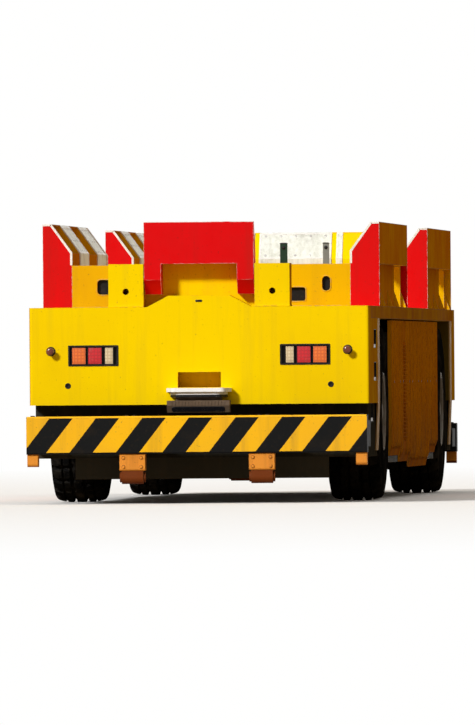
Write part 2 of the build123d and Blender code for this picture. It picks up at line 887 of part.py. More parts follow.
def powerPack():
    start = rearBayEnd + packSetback
    return block(-packHalf, packHalf, start, start + packLength, panBottom + panDepth, railBottom)


def bellyPan():
    return block(-tunnelHalf, tunnelHalf, rearBayEnd, frontBayStart, panBottom, panBottom + panDepth)


# Axles, suspension and steering


def axle(y, outward):
    """Square beam with a round drive housing and its motor, and a forked yoke with a kingpin at each end."""
    reach = kingpinX - beamEnd
    beam = block(-reach, reach, y - beamHalf, y + beamHalf, axleZ - beamHalf, axleZ + beamHalf)
    beam += rodX(-driveHalf, driveHalf, y, axleZ, driveHalf)
    motor0, motor1 = sorted((y - outward * motorStart, y - outward * motorEnd))
    beam += rodY(0, motor0, motor1, axleZ, motorRadius)
    space = kingpinX - cheekInset
    for side in (-1, 1):
        x = side * kingpinX
        x0, x1 = sorted((side * (space - cheekWidth), side * space))
        beam += block(x0, x1, y - beamHalf, y + beamHalf, axleZ - yokeReach, axleZ + yokeReach)
        for sign in (-1, 1):
            z0, z1 = sorted((axleZ + sign * (yokeReach - lugThickness), axleZ + sign * yokeReach))
            beam += rodZ(x, y, z0, z1, lugRadius)
            l0, l1 = sorted((x, side * space))
            beam += block(l0, l1, y - beamHalf, y + beamHalf, z0, z1)
        beam += rodZ(x, y, axleZ - yokeReach, axleZ + yokeReach, kingpinRadius)
    return beam


def suspension(y, outward):
    """A strut between axle and rail and an arm along the vehicle, on each side."""
    low = axleZ + beamHalf
    pieces = []
    for side in (-1, 1):
        x = side * (railInner + railOuter) / 2
        strut = rodZ(x, y, low, low + strutLow, strutRadius)
        pieces.append(strut + rodZ(x, y, low + strutLow, railBottom, strutTopRadius))
        y0, y1 = sorted((y - outward * beamHalf, y - outward * bayLength / 2))
        pieces.append(block(x - armHalf, x + armHalf, y0, y1, axleZ - armHeight, axleZ + armHeight))
    return solidsOf(*pieces)


def steerRod(y, outward):
    """Rod through the steering cylinder, with a slotted eye over each knuckle arm's pin."""
    ry = y + outward * steerArm
    rz = axleZ + rodRise
    rod = rodX(-kingpinX + rodEnd, kingpinX - rodEnd, ry, rz, rodRadius)
    eye = rodRadius + eyeWall
    hole = pinRadius + pinPlay
    z0, z1 = rz - eyeHalf, rz + eyeHalf
    drift = ry - outward * pinDrift
    for side in (-1, 1):
        x = side * kingpinX
        x0, x1 = sorted((x, side * (kingpinX - eyeNeck)))
        plate = rodZ(x, ry, z0, z1, eye) + rodZ(x, drift, z0, z1, eye)
        rod += plate + block(x0, x1, ry - eyeNeckHalf, ry + eyeNeckHalf, z0, z1)
        slot = rodZ(x, ry, z0 - 1, z1 + 1, hole) + rodZ(x, drift, z0 - 1, z1 + 1, hole)
        rod -= slot + block(x - hole, x + hole, min(ry, drift), max(ry, drift), z0 - 1, z1 + 1)
    return rod


def steerCylinder(y, outward):
    """Barrel round the rod's middle, on two feet from the axle beam."""
    ry = y + outward * steerArm
    rz = axleZ + rodRise
    barrel = rodX(-barrelHalf, barrelHalf, ry, rz, barrelRadius)
    y0, y1 = sorted((y + outward * beamHalf, ry))
    for side in (-1, 1):
        x0, x1 = sorted(side * x for x in barrelFoot)
        barrel += block(x0, x1, y0, y1, rz - barrelFootHalf, rz + barrelFootHalf)
    return barrel - rodX(-barrelHalf - 1, barrelHalf + 1, ry, rz, rodRadius + runningFit)


def knuckle(y, outward, side):
    """Boss on the kingpin with the wheel's spindle and the arm and pin for the steering rod."""
    x = kingpinX
    low, high = axleZ - knuckleBossHeight / 2, axleZ + knuckleBossHeight / 2
    body = rodZ(x, y, low, high, knuckleBossRadius)
    body += rodX(x, wheelX + spindleReach, y, axleZ, spindleRadius)
    pin = y + outward * steerArm
    armTop = axleZ + rodRise - eyeHalf - movingGap
    body += block(x - steerArmHalf, x + steerArmHalf, min(y, pin), max(y, pin), armTop - armThickness, armTop)
    body += rodZ(x, pin, armTop - armThickness, armTop, steerArmHalf)
    body += rodZ(x, pin, armTop, axleZ + rodRise + eyeHalf + movingGap, pinRadius)
    body -= rodZ(x, y, low - 1, high + 1, kingpinRadius + runningFit)
    return body if side > 0 else mirror(body, about=Plane.YZ)


def rim(y, side):
    """Wheel disc, hub and rim ring, turned from one profile of (along, radius) points."""
    inner, outer = -tyreWidth / 2, tyreWidth / 2 - rimInset
    seat, low, lip = rimSeatRadius, rimSeatRadius - rimWall, rimSeatRadius + rimLip
    bore = spindleRadius + runningFit
    profile = (
        (inner, low), (inner, lip), (inner + rimLipWidth, lip), (inner + rimLipWidth, seat),
        (outer - rimLipWidth, seat), (outer - rimLipWidth, lip), (outer, lip), (outer, low),
        (discFace, low), (discFace, hubCoverRadius + 20), (hubCover, hubCoverRadius), (hubCover, 0),
        (hubCover - hubCoverWall, 0), (hubCover - hubCoverWall, bore), (hubStart, bore), (hubStart, hubRadius),
        (discBack, hubRadius), (discBack, low),
    )
    return turnedX(tuple((side * a, r) for a, r in profile), side * wheelX, y, axleZ)


def tyre(y, side):
    """Plain tyre with bevelled shoulders, turned from one section of (along, radius) points."""
    w, seat, lip = tyreWidth / 2, rimSeatRadius, rimSeatRadius + rimLip
    bead0, bead1 = -w + rimLipWidth, w - rimInset - rimLipWidth
    bulge = (lip + wheelRadius) / 2
    section = (
        (bead0, seat), (bead1, seat), (bead1, lip), (w - rimInset, lip + rimLip), (w, bulge),
        (w - rimInset, wheelRadius - shoulderDrop), (w - shoulderWidth, wheelRadius),
        (shoulderWidth - w, wheelRadius), (rimInset - w, wheelRadius - shoulderDrop),
        (-w, bulge), (rimInset - w, lip + rimLip), (bead0, lip),
    )
    return turnedX(tuple((side * a, r) for a, r in section), side * wheelX, y, axleZ)


def parts():
    """Every node's name and shape."""
    found = {
        "frame": mainFrame(),
        "load_deck": loadDeck(),
        "rear_module": rearModule(),
        "front_module": frontModule(),
        "nose_boxes": solidsOf(noseBox(-1, rearBayStart), noseBox(1, frontBayEnd)),
        "bay_edge_strips": bayStrips(),
        "rear_bumper": bumper(-1, rearBumperBottom, rearBumperHeight),
        "front_bumper": bumper(1, frontBumperBottom, frontBumperHeight),
        "bumper_stripes": solidsOf(
            stripes(-1, rearBumperBottom, rearBumperHeight, rearStripePitch, rearStripeCount),
            stripes(1, frontBumperBottom, frontBumperHeight, frontStripePitch, frontStripeCount),
        ),
        "tow_lugs": towLugs(),
        "lamp_housings": lampHousings(),
        "amber_lenses": lenses("amber"),
        "red_lenses": lenses("red"),
        "white_lenses": lenses("white"),
        "headlamps": headlamps(),
        "scanner_hood": scannerHood(),
        "scanners": scanners(),
        "stop_buttons": stopButtons(),
        "guide_end_plates": redEndPlates(),
        "guide_wear_plates": wearPlates(),
        "end_guides": solidsOf(rearEndGuide(), frontBeam()),
        "end_guide_brackets": solidsOf(rearBracket(), frontBracket()),
        "rear_bulkhead": rearBulkhead(),
        "deck_posts": deckPosts(),
        "power_pack": powerPack(),
        "belly_pan": bellyPan(),
        "side_modules": sideModules(),
        "side_doors": sideDoors(),
        "suspension": solidsOf(*(suspension(y, outward) for place, y, outward in axles)),
        "steering_cylinders": solidsOf(*(steerCylinder(y, outward) for place, y, outward in axles)),
    }
    for name, side in (("left", -1), ("right", 1)):
        frontGuide = sideGuide(side, frontGuideStart, frontGuideEnd)
        frontGuide += alongY(guideOutline(side), frontGuideEnd - endPlate, frontGuideEnd)
        found[f"{name}_guides"] = solidsOf(sideGuide(side, rearGuideStart, rearGuideEnd), frontGuide)
    for place, y, outward in axles:
        found[f"{place}_axle"] = axle(y, outward)
        found[f"{place}_steering_rod"] = steerRod(y, outward)
        for name, side in (("left", -1), ("right", 1)):
            found[f"{place}_{name}_knuckle"] = knuckle(y, outward, side)
            found[f"{place}_{name}_rim"] = rim(y, side)
            found[f"{place}_{name}_tyre"] = tyre(y, side)
    return found


os.makedirs("parts", exist_ok=True)
for name, shape in parts().items():
    export_step(shape, f"parts/{name}.step")
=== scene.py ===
import json
import math

import bmesh
import bpy
import numpy as np
from mathutils import Matrix, Vector


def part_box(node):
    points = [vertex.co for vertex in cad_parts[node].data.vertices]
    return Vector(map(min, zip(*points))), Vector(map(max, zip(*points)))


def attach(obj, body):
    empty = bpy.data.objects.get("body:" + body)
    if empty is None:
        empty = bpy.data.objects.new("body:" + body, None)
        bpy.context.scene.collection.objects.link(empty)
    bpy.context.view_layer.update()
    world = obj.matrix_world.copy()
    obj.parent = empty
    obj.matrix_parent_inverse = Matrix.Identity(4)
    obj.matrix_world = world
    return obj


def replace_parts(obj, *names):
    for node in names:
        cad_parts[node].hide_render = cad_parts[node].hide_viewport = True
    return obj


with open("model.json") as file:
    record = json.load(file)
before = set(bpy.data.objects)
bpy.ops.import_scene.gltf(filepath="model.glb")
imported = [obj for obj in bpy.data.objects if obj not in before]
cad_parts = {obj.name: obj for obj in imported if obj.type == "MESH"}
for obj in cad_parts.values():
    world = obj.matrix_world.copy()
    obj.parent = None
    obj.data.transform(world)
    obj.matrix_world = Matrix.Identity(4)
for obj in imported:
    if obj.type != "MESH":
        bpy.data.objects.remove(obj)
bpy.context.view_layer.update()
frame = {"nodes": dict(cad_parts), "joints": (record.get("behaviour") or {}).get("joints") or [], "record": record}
cadNodes = frame["nodes"]
print("frame loaded:", len(cadNodes), "nodes")

sides = (("left", -1), ("right", 1))
ends = (("rear", -1), ("front", 1))


def cornersOf(node):
    # a CAD node's lowest and highest corners, to a tenth of a millimetre
    return [np.round(corner, 4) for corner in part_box(node)]


# Places that several pieces are set against, in metres, from the frame where it gives them
vehicle = {
    "half": cornersOf("load_deck")[1][0],
    "end": -cornersOf("rear_module")[0][1],
    "deckTop": cornersOf("guide_end_plates")[0][2],
    "floor": cornersOf("load_deck")[1][2],          # top of the load floor's plates
    "guideTop": cornersOf("guide_wear_plates")[1][2],
    "guideLow": cornersOf("guide_wear_plates")[0][2],
    "guideKnee": 2.225,                             # height at which the guides' slope meets their upright
    "crestX": cornersOf("guide_wear_plates")[1][0],
    "innerX": cornersOf("right_guides")[0][0],
}
jointAt = {joint["name"]: joint["pos_m"] for joint in frame["joints"] if "pos_m" in joint}
axleY = {way: jointAt[f"{way}_left_spin"][1] for way, sign in ends}

# The photograph's viewpoint: far off behind the vehicle, a little to its right, at head height
viewpoint = {
    "place": (11.24, -174.23, 1.136),
    "yaw": 0.0651,          # radians, towards -X
    "pitch": 0.0006,
    "roll": -0.0075,
    "lens": 945.0,
    "sensor": 36.0,         # height of the picture in millimetres
    "clip": (1.0, 3000.0),
}

# A key lamp from behind on the left, as on the photographed rear face, a wide one from above,
# a weak one on the front, and a weak sky
studio = {
    "suns": {               # direction of the light, strength, angle in degrees
        "key": ((0.46, 0.76, -0.46), 3.08, 8.0),
        "top": ((0.0, 0.05, -1.0), 0.9, 70.0),
        "fill": ((0.16, -0.88, -0.45), 0.65, 60.0),
    },
    "skyColour": (1.0, 0.84, 0.66),
    "skyStrength": 0.23,
    "background": (1.0, 1.0, 0.995),
}
floorLook = {
    "half": 600.0,
    "seen": (0.84, 0.835, 0.82),
    "rough": 0.95,
    "gloss": 0.05,
    "bounce": (0.30, 0.22, 0.14),       # what the floor throws back on the vehicle
    "fade": (13.0, 55.0),               # metres from the middle over which it turns into the background
}


def feed(tree, value, socket):
    # another node's output is linked, a colour gets its fourth number, and anything else is set
    if isinstance(value, bpy.types.NodeSocket):
        tree.links.new(value, socket)
    elif isinstance(value, tuple) and len(value) == 3 and len(socket.default_value) == 4:
        socket.default_value = (*value, 1.0)
    else:
        socket.default_value = value


def addNode(tree, kind, inputs=None, **settings):
    # one shader node, its settings first, because they decide which inputs it has
    node = tree.nodes.new("ShaderNode" + kind)
    for name, value in settings.items():
        setattr(node, name, value)
    for socket, value in (inputs or {}).items():
        feed(tree, value, node.inputs[socket])
    return node


class Graph:
    # nodes of one material, wired by short calls

    def __init__(self, name):
        self.material = bpy.data.materials.new(name)
        self.material.use_nodes = True
        self.tree = self.material.node_tree
        self.shader = self.tree.nodes["Principled BSDF"]
        self.place = self.add("TexCoord").outputs["Object"]
        self.axes = None

    def add(self, kind, inputs=None, **settings):
        return addNode(self.tree, kind, inputs, **settings)

    def finish(self, socket, value):
        feed(self.tree, value, self.shader.inputs[socket])

    def stretched(self, scale):
        return self.add("Mapping", {"Vector": self.place, "Scale": scale}).outputs[0]

    def noise(self, scale, detail=4.0, rough=0.55, along=None):
        inputs = {"Vector": along or self.place, "Scale": scale, "Detail": detail, "Roughness": rough}
        return self.add("TexNoise", inputs).outputs["Fac"]

    def span(self, value, low, high, toLow=0.0, toHigh=1.0):
        inputs = {"Value": value, "From Min": low, "From Max": high, "To Min": toLow, "To Max": toHigh}
        return self.add("MapRange", inputs, clamp=True).outputs["Result"]

    def patches(self, low, high, least=0.0, most=1.0, **noise):
        # noise that gives the least share below low and the most above high
        return self.span(self.noise(**noise), low, high, least, most)

    def maths(self, kind, first, second=0.0):
        return self.add("Math", {0: first, 1: second}, operation=kind).outputs[0]

    def blend(self, share, first, second):
        return self.add("Mix", {0: share, 6: first, 7: second}, data_type="RGBA").outputs[2]

    def axis(self, letter):
        if self.axes is None:
            self.axes = self.add("SeparateXYZ", {0: self.place})
        return self.axes.outputs[letter]

    def normal(self, letter):
        flat = self.add("NewGeometry").outputs["Normal"]
        return self.add("SeparateXYZ", {0: flat}).outputs[letter]

    def edges(self, radius):
        # how far the rounded normal leaves the flat one: bright along edges of that radius
        rounded = self.add("Bevel", {"Radius": radius}, samples=4).outputs[0]
        flat = self.add("NewGeometry").outputs["Normal"]
        dot = self.add("VectorMath", {0: rounded, 1: flat}, operation="DOT_PRODUCT")
        return self.span(dot.outputs["Value"], 0.985, 0.80)

    def bump(self, heights, strength, distance):
        node = self.add("Bump", {"Height": heights, "Strength": strength, "Distance": distance})
        self.finish("Normal", node.outputs[0])


def setCamera(view):
    # looks along +Y, turned by the yaw, raised by the pitch and then rolled about its own line of sight
    camera = bpy.data.cameras.new("camera")
    camera.sensor_fit = "VERTICAL"
    camera.sensor_height = view["sensor"]
    camera.lens = view["lens"]
    camera.clip_start, camera.clip_end = view["clip"]
    holder = bpy.data.objects.new("camera", camera)
    bpy.context.scene.collection.objects.link(holder)
    yaw, pitch, roll = view["yaw"], view["pitch"], view["roll"]
    ahead = Vector((-math.sin(yaw) * math.cos(pitch), math.cos(yaw) * math.cos(pitch), math.sin(pitch)))
    side = Vector((math.cos(yaw), math.sin(yaw), 0.0))
    top = side.cross(ahead)
    right = side * math.cos(roll) + top * math.sin(roll)
    up = -side * math.sin(roll) + top * math.cos(roll)
    turn = Matrix((right, up, -ahead)).transposed()
    holder.matrix_world = Matrix.Translation(Vector(view["place"])) @ turn.to_4x4()
    bpy.context.scene.camera = holder


def seenDirectly(tree):
    # 1 for rays from the camera, off gloss and through glass, 0 for those that carry diffuse light
    path = addNode(tree, "LightPath").outputs
    value = path["Is Camera Ray"]
    for other in ("Is Glossy Ray", "Is Transmission Ray"):
        value = addNode(tree, "Math", {0: value, 1: path[other]}, operation="MAXIMUM").outputs[0]
    return value


def setStudio(light):
    scene = bpy.context.scene
    scene.view_settings.view_transform = "Standard"
    for name, (towards, strength, angle) in light["suns"].items():
        lamp = bpy.data.lights.new(name, "SUN")
        lamp.energy = strength
        lamp.angle = math.radians(angle)
        holder = bpy.data.objects.new(name, lamp)
        holder.rotation_euler = Vector(towards).to_track_quat("-Z", "Y").to_euler()
        scene.collection.objects.link(holder)
    scene.world = bpy.data.worlds.new("studio")
    scene.world.use_nodes = True
    tree = scene.world.node_tree
    tree.nodes.clear()
    sky = addNode(tree, "Background", {"Color": light["skyColour"], "Strength": light["skyStrength"]})
    pale = addNode(tree, "Background", {"Color": light["background"], "Strength": 1.0})
    mix = addNode(tree, "MixShader", {"Fac": seenDirectly(tree), 1: sky.outputs[0], 2: pale.outputs[0]})
    addNode(tree, "OutputWorld", {"Surface": mix.outputs[0]})


def setFloor(look, background):
    # a plain that fades into the background with the distance from its middle
    mesh = bpy.data.meshes.new("floor")
    corners = [(x * look["half"], y * look["half"], 0.0) for x, y in ((-1, -1), (1, -1), (1, 1), (-1, 1))]
    mesh.from_pydata(corners, [], [(0, 1, 2, 3)])
    floor = bpy.data.objects.new("floor", mesh)
    bpy.context.scene.collection.objects.link(floor)
    g = Graph("floor")
    g.finish("Base Color", look["seen"])
    g.finish("Roughness", look["rough"])
    g.finish("Specular IOR Level", look["gloss"])
    bounce = g.add("BsdfDiffuse", {"Color": look["bounce"]})
    far = g.add("Emission", {"Color": background, "Strength": 1.0})
    reach = g.add("VectorMath", {0: g.place}, operation="LENGTH").outputs["Value"]
    fade = g.span(reach, *look["fade"])
    seen = g.add("MixShader", {"Fac": fade, 1: g.shader.outputs[0], 2: far.outputs[0]})
    both = g.add("MixShader", {"Fac": seenDirectly(g.tree), 1: bounce.outputs[0], 2: seen.outputs[0]})
    feed(g.tree, both.outputs[0], g.tree.nodes["Material Output"].inputs["Surface"])
    mesh.materials.append(g.material)


setCamera(viewpoint)
setStudio(studio)
setFloor(floorLook, studio["background"])
print("camera and studio set")


# Paints: coat, faded coat, what shows under chips, grime and its share, chips (less is more of them),
# roughness, width of the worn edges, height up to which dust lies. Some have a split (an axis, a place on it
# and the coat below it) instead of the faded coat. Some add a colour of the flanks (road spray and painted
# shade on faces that look sideways), the axles whose bays get painted shade, or the height of a crest rubbed
# bare and painted as a highlight
paintUsual = {"gloss": 0.09, "dustShare": 0.7, "streak": (8.0, 8.0, 0.5)}
paintRecipes = {
    "yellowPaint": {
        "coat": (0.93, 0.645, 0.001), "faded": (0.85, 0.555, 0.003), "under": (0.26, 0.15, 0.07),
        "grime": (0.30, 0.17, 0.03), "grimeShare": 0.20, "chips": 0.62, "rough": 0.50, "edge": 0.008,
        "dustTop": 0.95, "flank": (0.44, 0.140, 0.005), "gloss": 0.0, "bays": axleY.values()},
    # The guides' and doors' coats below are darker and redder than the body's yellow: painted shade of the sides
    "guideYellow": {
        "coat": (0.80, 0.455, 0.002), "faded": (0.70, 0.35, 0.005), "under": (0.42, 0.33, 0.24),
        "grime": (0.24, 0.10, 0.025), "grimeShare": 0.22, "chips": 0.56, "rough": 0.55, "edge": 0.010,
        "dustTop": 0.5, "crest": 2.474, "flank": (0.56, 0.150, 0.004), "gloss": 0.0},
    "doorYellow": {
        "coat": (0.78, 0.340, 0.003), "faded": (0.70, 0.270, 0.005), "under": (0.16, 0.07, 0.03),
        "grime": (0.14, 0.042, 0.010), "grimeShare": 0.26, "chips": 0.58, "rough": 0.72, "edge": 0.007,
        "dustTop": 0.95, "flank": (0.42, 0.110, 0.006), "gloss": 0.0},
    "deckPaint": {
        "coat": (0.72, 0.43, 0.010), "faded": (0.42, 0.36, 0.27), "under": (0.20, 0.17, 0.14),
        "grime": (0.16, 0.115, 0.07), "grimeShare": 0.42, "chips": 0.54, "rough": 0.66, "edge": 0.015,
        "dustTop": 0.5, "flank": (0.36, 0.110, 0.01), "gloss": 0.0, "streak": (5.0, 1.6, 0.5)},
    "hazardYellow": {
        "coat": (0.93, 0.50, 0.006), "faded": (0.84, 0.42, 0.02), "under": (0.05, 0.045, 0.04),
        "grime": (0.20, 0.11, 0.04), "grimeShare": 0.35, "chips": 0.58, "rough": 0.50, "edge": 0.004,
        "dustTop": 0.6},
    "lugPaint": {
        "coat": (0.78, 0.29, 0.035), "under": (0.16, 0.06, 0.02),
        "grime": (0.17, 0.05, 0.015), "grimeShare": 0.55, "chips": 0.54, "rough": 0.62, "edge": 0.008,
        "dustTop": 0.2, "split": ("Z", 0.292, (0.16, 0.035, 0.006))},
    "redPaint": {
        # The red plates' pale under colour along chips and the crest is worn steel and a painted highlight of the
        # lit edges
        "coat": (0.70, 0.0006, 0.002), "faded": (0.58, 0.004, 0.003), "under": (0.74, 0.70, 0.64),
        "grime": (0.20, 0.02, 0.01), "grimeShare": 0.25, "chips": 0.55, "rough": 0.48, "edge": 0.009,
        "dustTop": 0.5, "crest": 2.474},
    "whitePaint": {
        "coat": (0.84, 0.84, 0.82), "faded": (0.74, 0.74, 0.70), "under": (0.18, 0.13, 0.09),
        "grime": (0.34, 0.30, 0.24), "grimeShare": 0.35, "chips": 0.62, "rough": 0.42, "edge": 0.005,
        "dustTop": 0.5},
    # The hood's near-black coat below the split is painted shade under the hood plate's edge
    "hoodWhite": {
        "coat": (0.90, 0.90, 0.89), "under": (0.30, 0.25, 0.20),
        "grime": (0.40, 0.36, 0.30), "grimeShare": 0.20, "chips": 0.64, "rough": 0.38, "edge": 0.004,
        "dustTop": 0.5, "split": ("Z", 0.957, (0.008, 0.008, 0.009))},
    "scannerGrey": {
        "coat": (0.125, 0.085, 0.055), "faded": (0.17, 0.125, 0.085), "under": (0.20, 0.15, 0.10),
        "grime": (0.05, 0.03, 0.02), "grimeShare": 0.40, "chips": 0.60, "rough": 0.50, "edge": 0.004,
        "dustTop": 0.5},
    "postPaint": {
        "coat": (0.21, 0.22, 0.20), "under": (0.15, 0.09, 0.05),
        "grime": (0.09, 0.07, 0.05), "grimeShare": 0.40, "chips": 0.60, "rough": 0.52, "edge": 0.004,
        "dustTop": 0.5, "split": ("X", 0.85, (0.018, 0.040, 0.024))},
    "stripPaint": {
        "coat": (0.36, 0.20, 0.055), "faded": (0.32, 0.19, 0.075), "under": (0.24, 0.18, 0.12),
        "grime": (0.14, 0.08, 0.04), "grimeShare": 0.60, "chips": 0.56, "rough": 0.60, "edge": 0.005,
        "dustTop": 0.9},
    "nosePaint": {
        "coat": (0.030, 0.030, 0.024), "under": (0.12, 0.07, 0.04),
        "grime": (0.10, 0.08, 0.055), "grimeShare": 0.50, "chips": 0.58, "rough": 0.66, "edge": 0.008,
        "dustTop": 0.6, "split": ("Z", 0.402, (0.060, 0.060, 0.048)), "gloss": 0.0, "dustShare": 0.3},
    "darkFrame": {
        "coat": (0.024, 0.026, 0.022), "faded": (0.045, 0.043, 0.036), "under": (0.10, 0.055, 0.03),
        "grime": (0.11, 0.085, 0.06), "grimeShare": 0.55, "chips": 0.57, "rough": 0.64, "edge": 0.008,
        "dustTop": 1.0, "gloss": 0.02, "dustShare": 0.3},
    "rimPaint": {
        "coat": (0.30, 0.30, 0.28), "faded": (0.22, 0.21, 0.19), "under": (0.13, 0.07, 0.04),
        "grime": (0.09, 0.065, 0.045), "grimeShare": 0.60, "chips": 0.57, "rough": 0.56, "edge": 0.006,
        "dustTop": 1.3, "gloss": 0.03},
}

# Wear that all paints share: patterns of noise, each with its scale in cells a metre
weather = {
    "fade": {"scale": 0.8, "rough": 0.6, "low": 0.44, "high": 0.72, "most": 0.8},
    "streak": {"scale": 1.0, "detail": 5.0, "rough": 0.6, "low": 0.50, "high": 0.78},
    # patches of road spray and painted shade on the flanks
    "spray": {"scale": 1.6, "detail": 5.0, "rough": 0.6, "low": 0.30, "high": 0.62,
              "least": 0.60, "most": 0.90},
    "dust": {"scale": 3.0, "detail": 6.0, "rough": 0.65, "low": 0.38, "high": 0.74},
    "speck": {"scale": 48.0, "detail": 3.0, "low": 0.66, "high": 0.73, "most": 0.55},
    "flake": {"scale": 20.0, "detail": 5.0, "rough": 0.7},
    "rubbed": {"scale": 5.0, "detail": 6.0, "rough": 0.7, "low": 0.36, "high": 0.50},
    "sheen": {"scale": 9.0, "detail": 5.0, "low": 0.35, "high": 0.70},
    "grain": {"scale": 140.0, "detail": 2.0},
    "dents": {"scale": 2.2, "detail": 3.0},
    "dentShare": 0.35,
    "relief": (0.35, 0.004),        # strength and depth of grain, dents and chips
    "blur": 0.003,                  # softness of a split's edge and of a rubbed crest's
    "sideways": (0.6, 0.9),         # how far a face looks along X to count as a flank
    "dustColour": (0.20, 0.14, 0.085),
    "dustFall": 0.75,               # height over which the dust grows to its full share
    "dustRough": 0.3,
    "flakeRange": 0.14,
    "sheenRange": (-0.08, 0.16),    # added to the recipe's roughness
    # painted shade in the wheel bays: its colour, where it falls and how strong it is
    "sootColour": (0.030, 0.020, 0.012),
    "sootInside": (0.90, 1.0),      # distance from the middle, along X
    "sootNear": (1.30, 1.27),       # distance from the axle, along Y
    "sootUnder": (1.735, 1.725),    # height
    "sootShare": 0.9,
}


def bayShade(g, axles, sideways):
    # painted shade in the wheel bays: inside the skin, near an axle, under the deck and on faces that don't look
    # sideways: their product
    inside = g.span(g.maths("ABSOLUTE", g.axis("X")), *weather["sootInside"])
    away = [g.maths("ABSOLUTE", g.maths("SUBTRACT", g.axis("Y"), axle)) for axle in axles]
    near = g.span(g.maths("MINIMUM", *away), *weather["sootNear"])
    ahead = g.span(sideways, 1.0, 0.0, 0.0, weather["sootShare"])
    share = g.maths("MULTIPLY", g.maths("MULTIPLY", inside, near), ahead)
    return g.maths("MULTIPLY", share, g.span(g.axis("Z"), *weather["sootUnder"]))


def paint(name, recipe):
    # coat with faded patches, rain streaks, road spray and painted shade on the flanks, painted shade in the
    # wheel bays, road dust low down, crests rubbed bare with a painted highlight, and chips along the edges
    g = Graph(name)
    recipe = {**paintUsual, **recipe}
    if "split" in recipe:
        letter, at, below = recipe["split"]
        above = g.span(g.axis(letter), at - weather["blur"], at + weather["blur"])
        colour = g.blend(above, below, recipe["coat"])
    else:
        colour = g.blend(g.patches(**weather["fade"]), recipe["coat"], recipe["faded"])
    streaks = g.patches(**weather["streak"], most=recipe["grimeShare"], along=g.stretched(recipe["streak"]))
    colour = g.blend(streaks, colour, recipe["grime"])
    if "flank" in recipe:
        # road spray and painted shade: faces that look sideways turn to the flank colour in patches
        sideways = g.span(g.maths("ABSOLUTE", g.normal("X")), *weather["sideways"])
        spray = g.maths("MULTIPLY", sideways, g.patches(**weather["spray"]))
        colour = g.blend(spray, colour, recipe["flank"])
        if "bays" in recipe:
            # painted shade in the wheel bays
            colour = g.blend(bayShade(g, recipe["bays"], sideways), colour, weather["sootColour"])
    low = g.span(g.axis("Z"), recipe["dustTop"], recipe["dustTop"] - weather["dustFall"])
    dust = g.maths("MULTIPLY", low, g.patches(**weather["dust"], most=recipe["dustShare"]))
    colour = g.blend(dust, colour, weather["dustColour"])
    colour = g.blend(g.patches(**weather["speck"]), colour, recipe["grime"])
    flakes = g.patches(**weather["flake"], low=recipe["chips"] - weather["flakeRange"], high=recipe["chips"])
    chips = g.maths("MULTIPLY", g.edges(recipe["edge"]), flakes)
    if "crest" in recipe:
        # the crest rubbed bare, and a painted highlight of its lit top edge
        top = g.span(g.axis("Z"), recipe["crest"], recipe["crest"] + weather["blur"])
        chips = g.maths("MAXIMUM", chips, g.maths("MULTIPLY", top, g.patches(**weather["rubbed"])))
    g.finish("Base Color", g.blend(chips, colour, recipe["under"]))
    least, most = (recipe["rough"] + shift for shift in weather["sheenRange"])
    rough = g.patches(**weather["sheen"], least=least, most=most)
    g.finish("Roughness", g.maths("ADD", rough, g.maths("MULTIPLY", dust, weather["dustRough"])))
    g.finish("Specular IOR Level", recipe["gloss"])
    skin = g.blend(weather["dentShare"], g.noise(**weather["grain"]), g.noise(**weather["dents"]))
    g.bump(g.blend(chips, skin, (0.0, 0.0, 0.0)), *weather["relief"])
    return g.material


# Metals: two shades, rust and the noise above which it shows, roughness, scratches along each axis
metalUsual = {"gloss": 0.5}
metalRecipes = {
    "wornSteel": {
        "bright": (0.56, 0.55, 0.53), "dull": (0.32, 0.30, 0.27), "rust": (0.22, 0.10, 0.04),
        "rustFrom": 0.60, "rough": 0.40, "scratch": (3.0, 60.0, 60.0), "metal": 0.7},
    "guideSteel": {
        "bright": (0.80, 0.815, 0.76), "dull": (0.60, 0.62, 0.55), "rust": (0.34, 0.19, 0.10),
        "rustFrom": 0.68, "rough": 0.52, "scratch": (26.0, 26.0, 2.0), "metal": 0.10, "gloss": 0.15},
    "rubbedSteel": {
        "bright": (0.86, 0.85, 0.82), "dull": (0.66, 0.63, 0.58), "rust": (0.40, 0.22, 0.12),
        "rustFrom": 0.68, "rough": 0.42, "scratch": (50.0, 4.0, 50.0), "metal": 0.25},
    "boltSteel": {
        "bright": (0.40, 0.39, 0.37), "dull": (0.20, 0.18, 0.16), "rust": (0.20, 0.085, 0.03),
        "rustFrom": 0.52, "rough": 0.46, "scratch": (90.0, 90.0, 90.0), "metal": 0.6},
}
metalWear = {
    "lines": {"scale": 1.0, "detail": 6.0, "rough": 0.7},
    "dull": (0.38, 0.66),           # noise of the lines over which the colour turns dull
    "coarse": (0.3, 0.7),           # and over which the roughness grows by the next two
    "coarseRange": (-0.1, 0.15),
    "relief": (0.3, 0.002),
    "soot": {"scale": 3.5, "detail": 6.0, "rough": 0.65, "low": 0.50, "high": 0.72, "most": 0.45},
    "rust": {"scale": 6.0, "detail": 8.0, "rough": 0.7},
    "rustRange": 0.10,
    "rustRough": 0.3,
    "edge": {"scale": 25.0, "detail": 3.0, "low": 0.35, "high": 0.6},
    "edgeRadius": 0.004,
    "sootColour": (0.13, 0.11, 0.085),
}


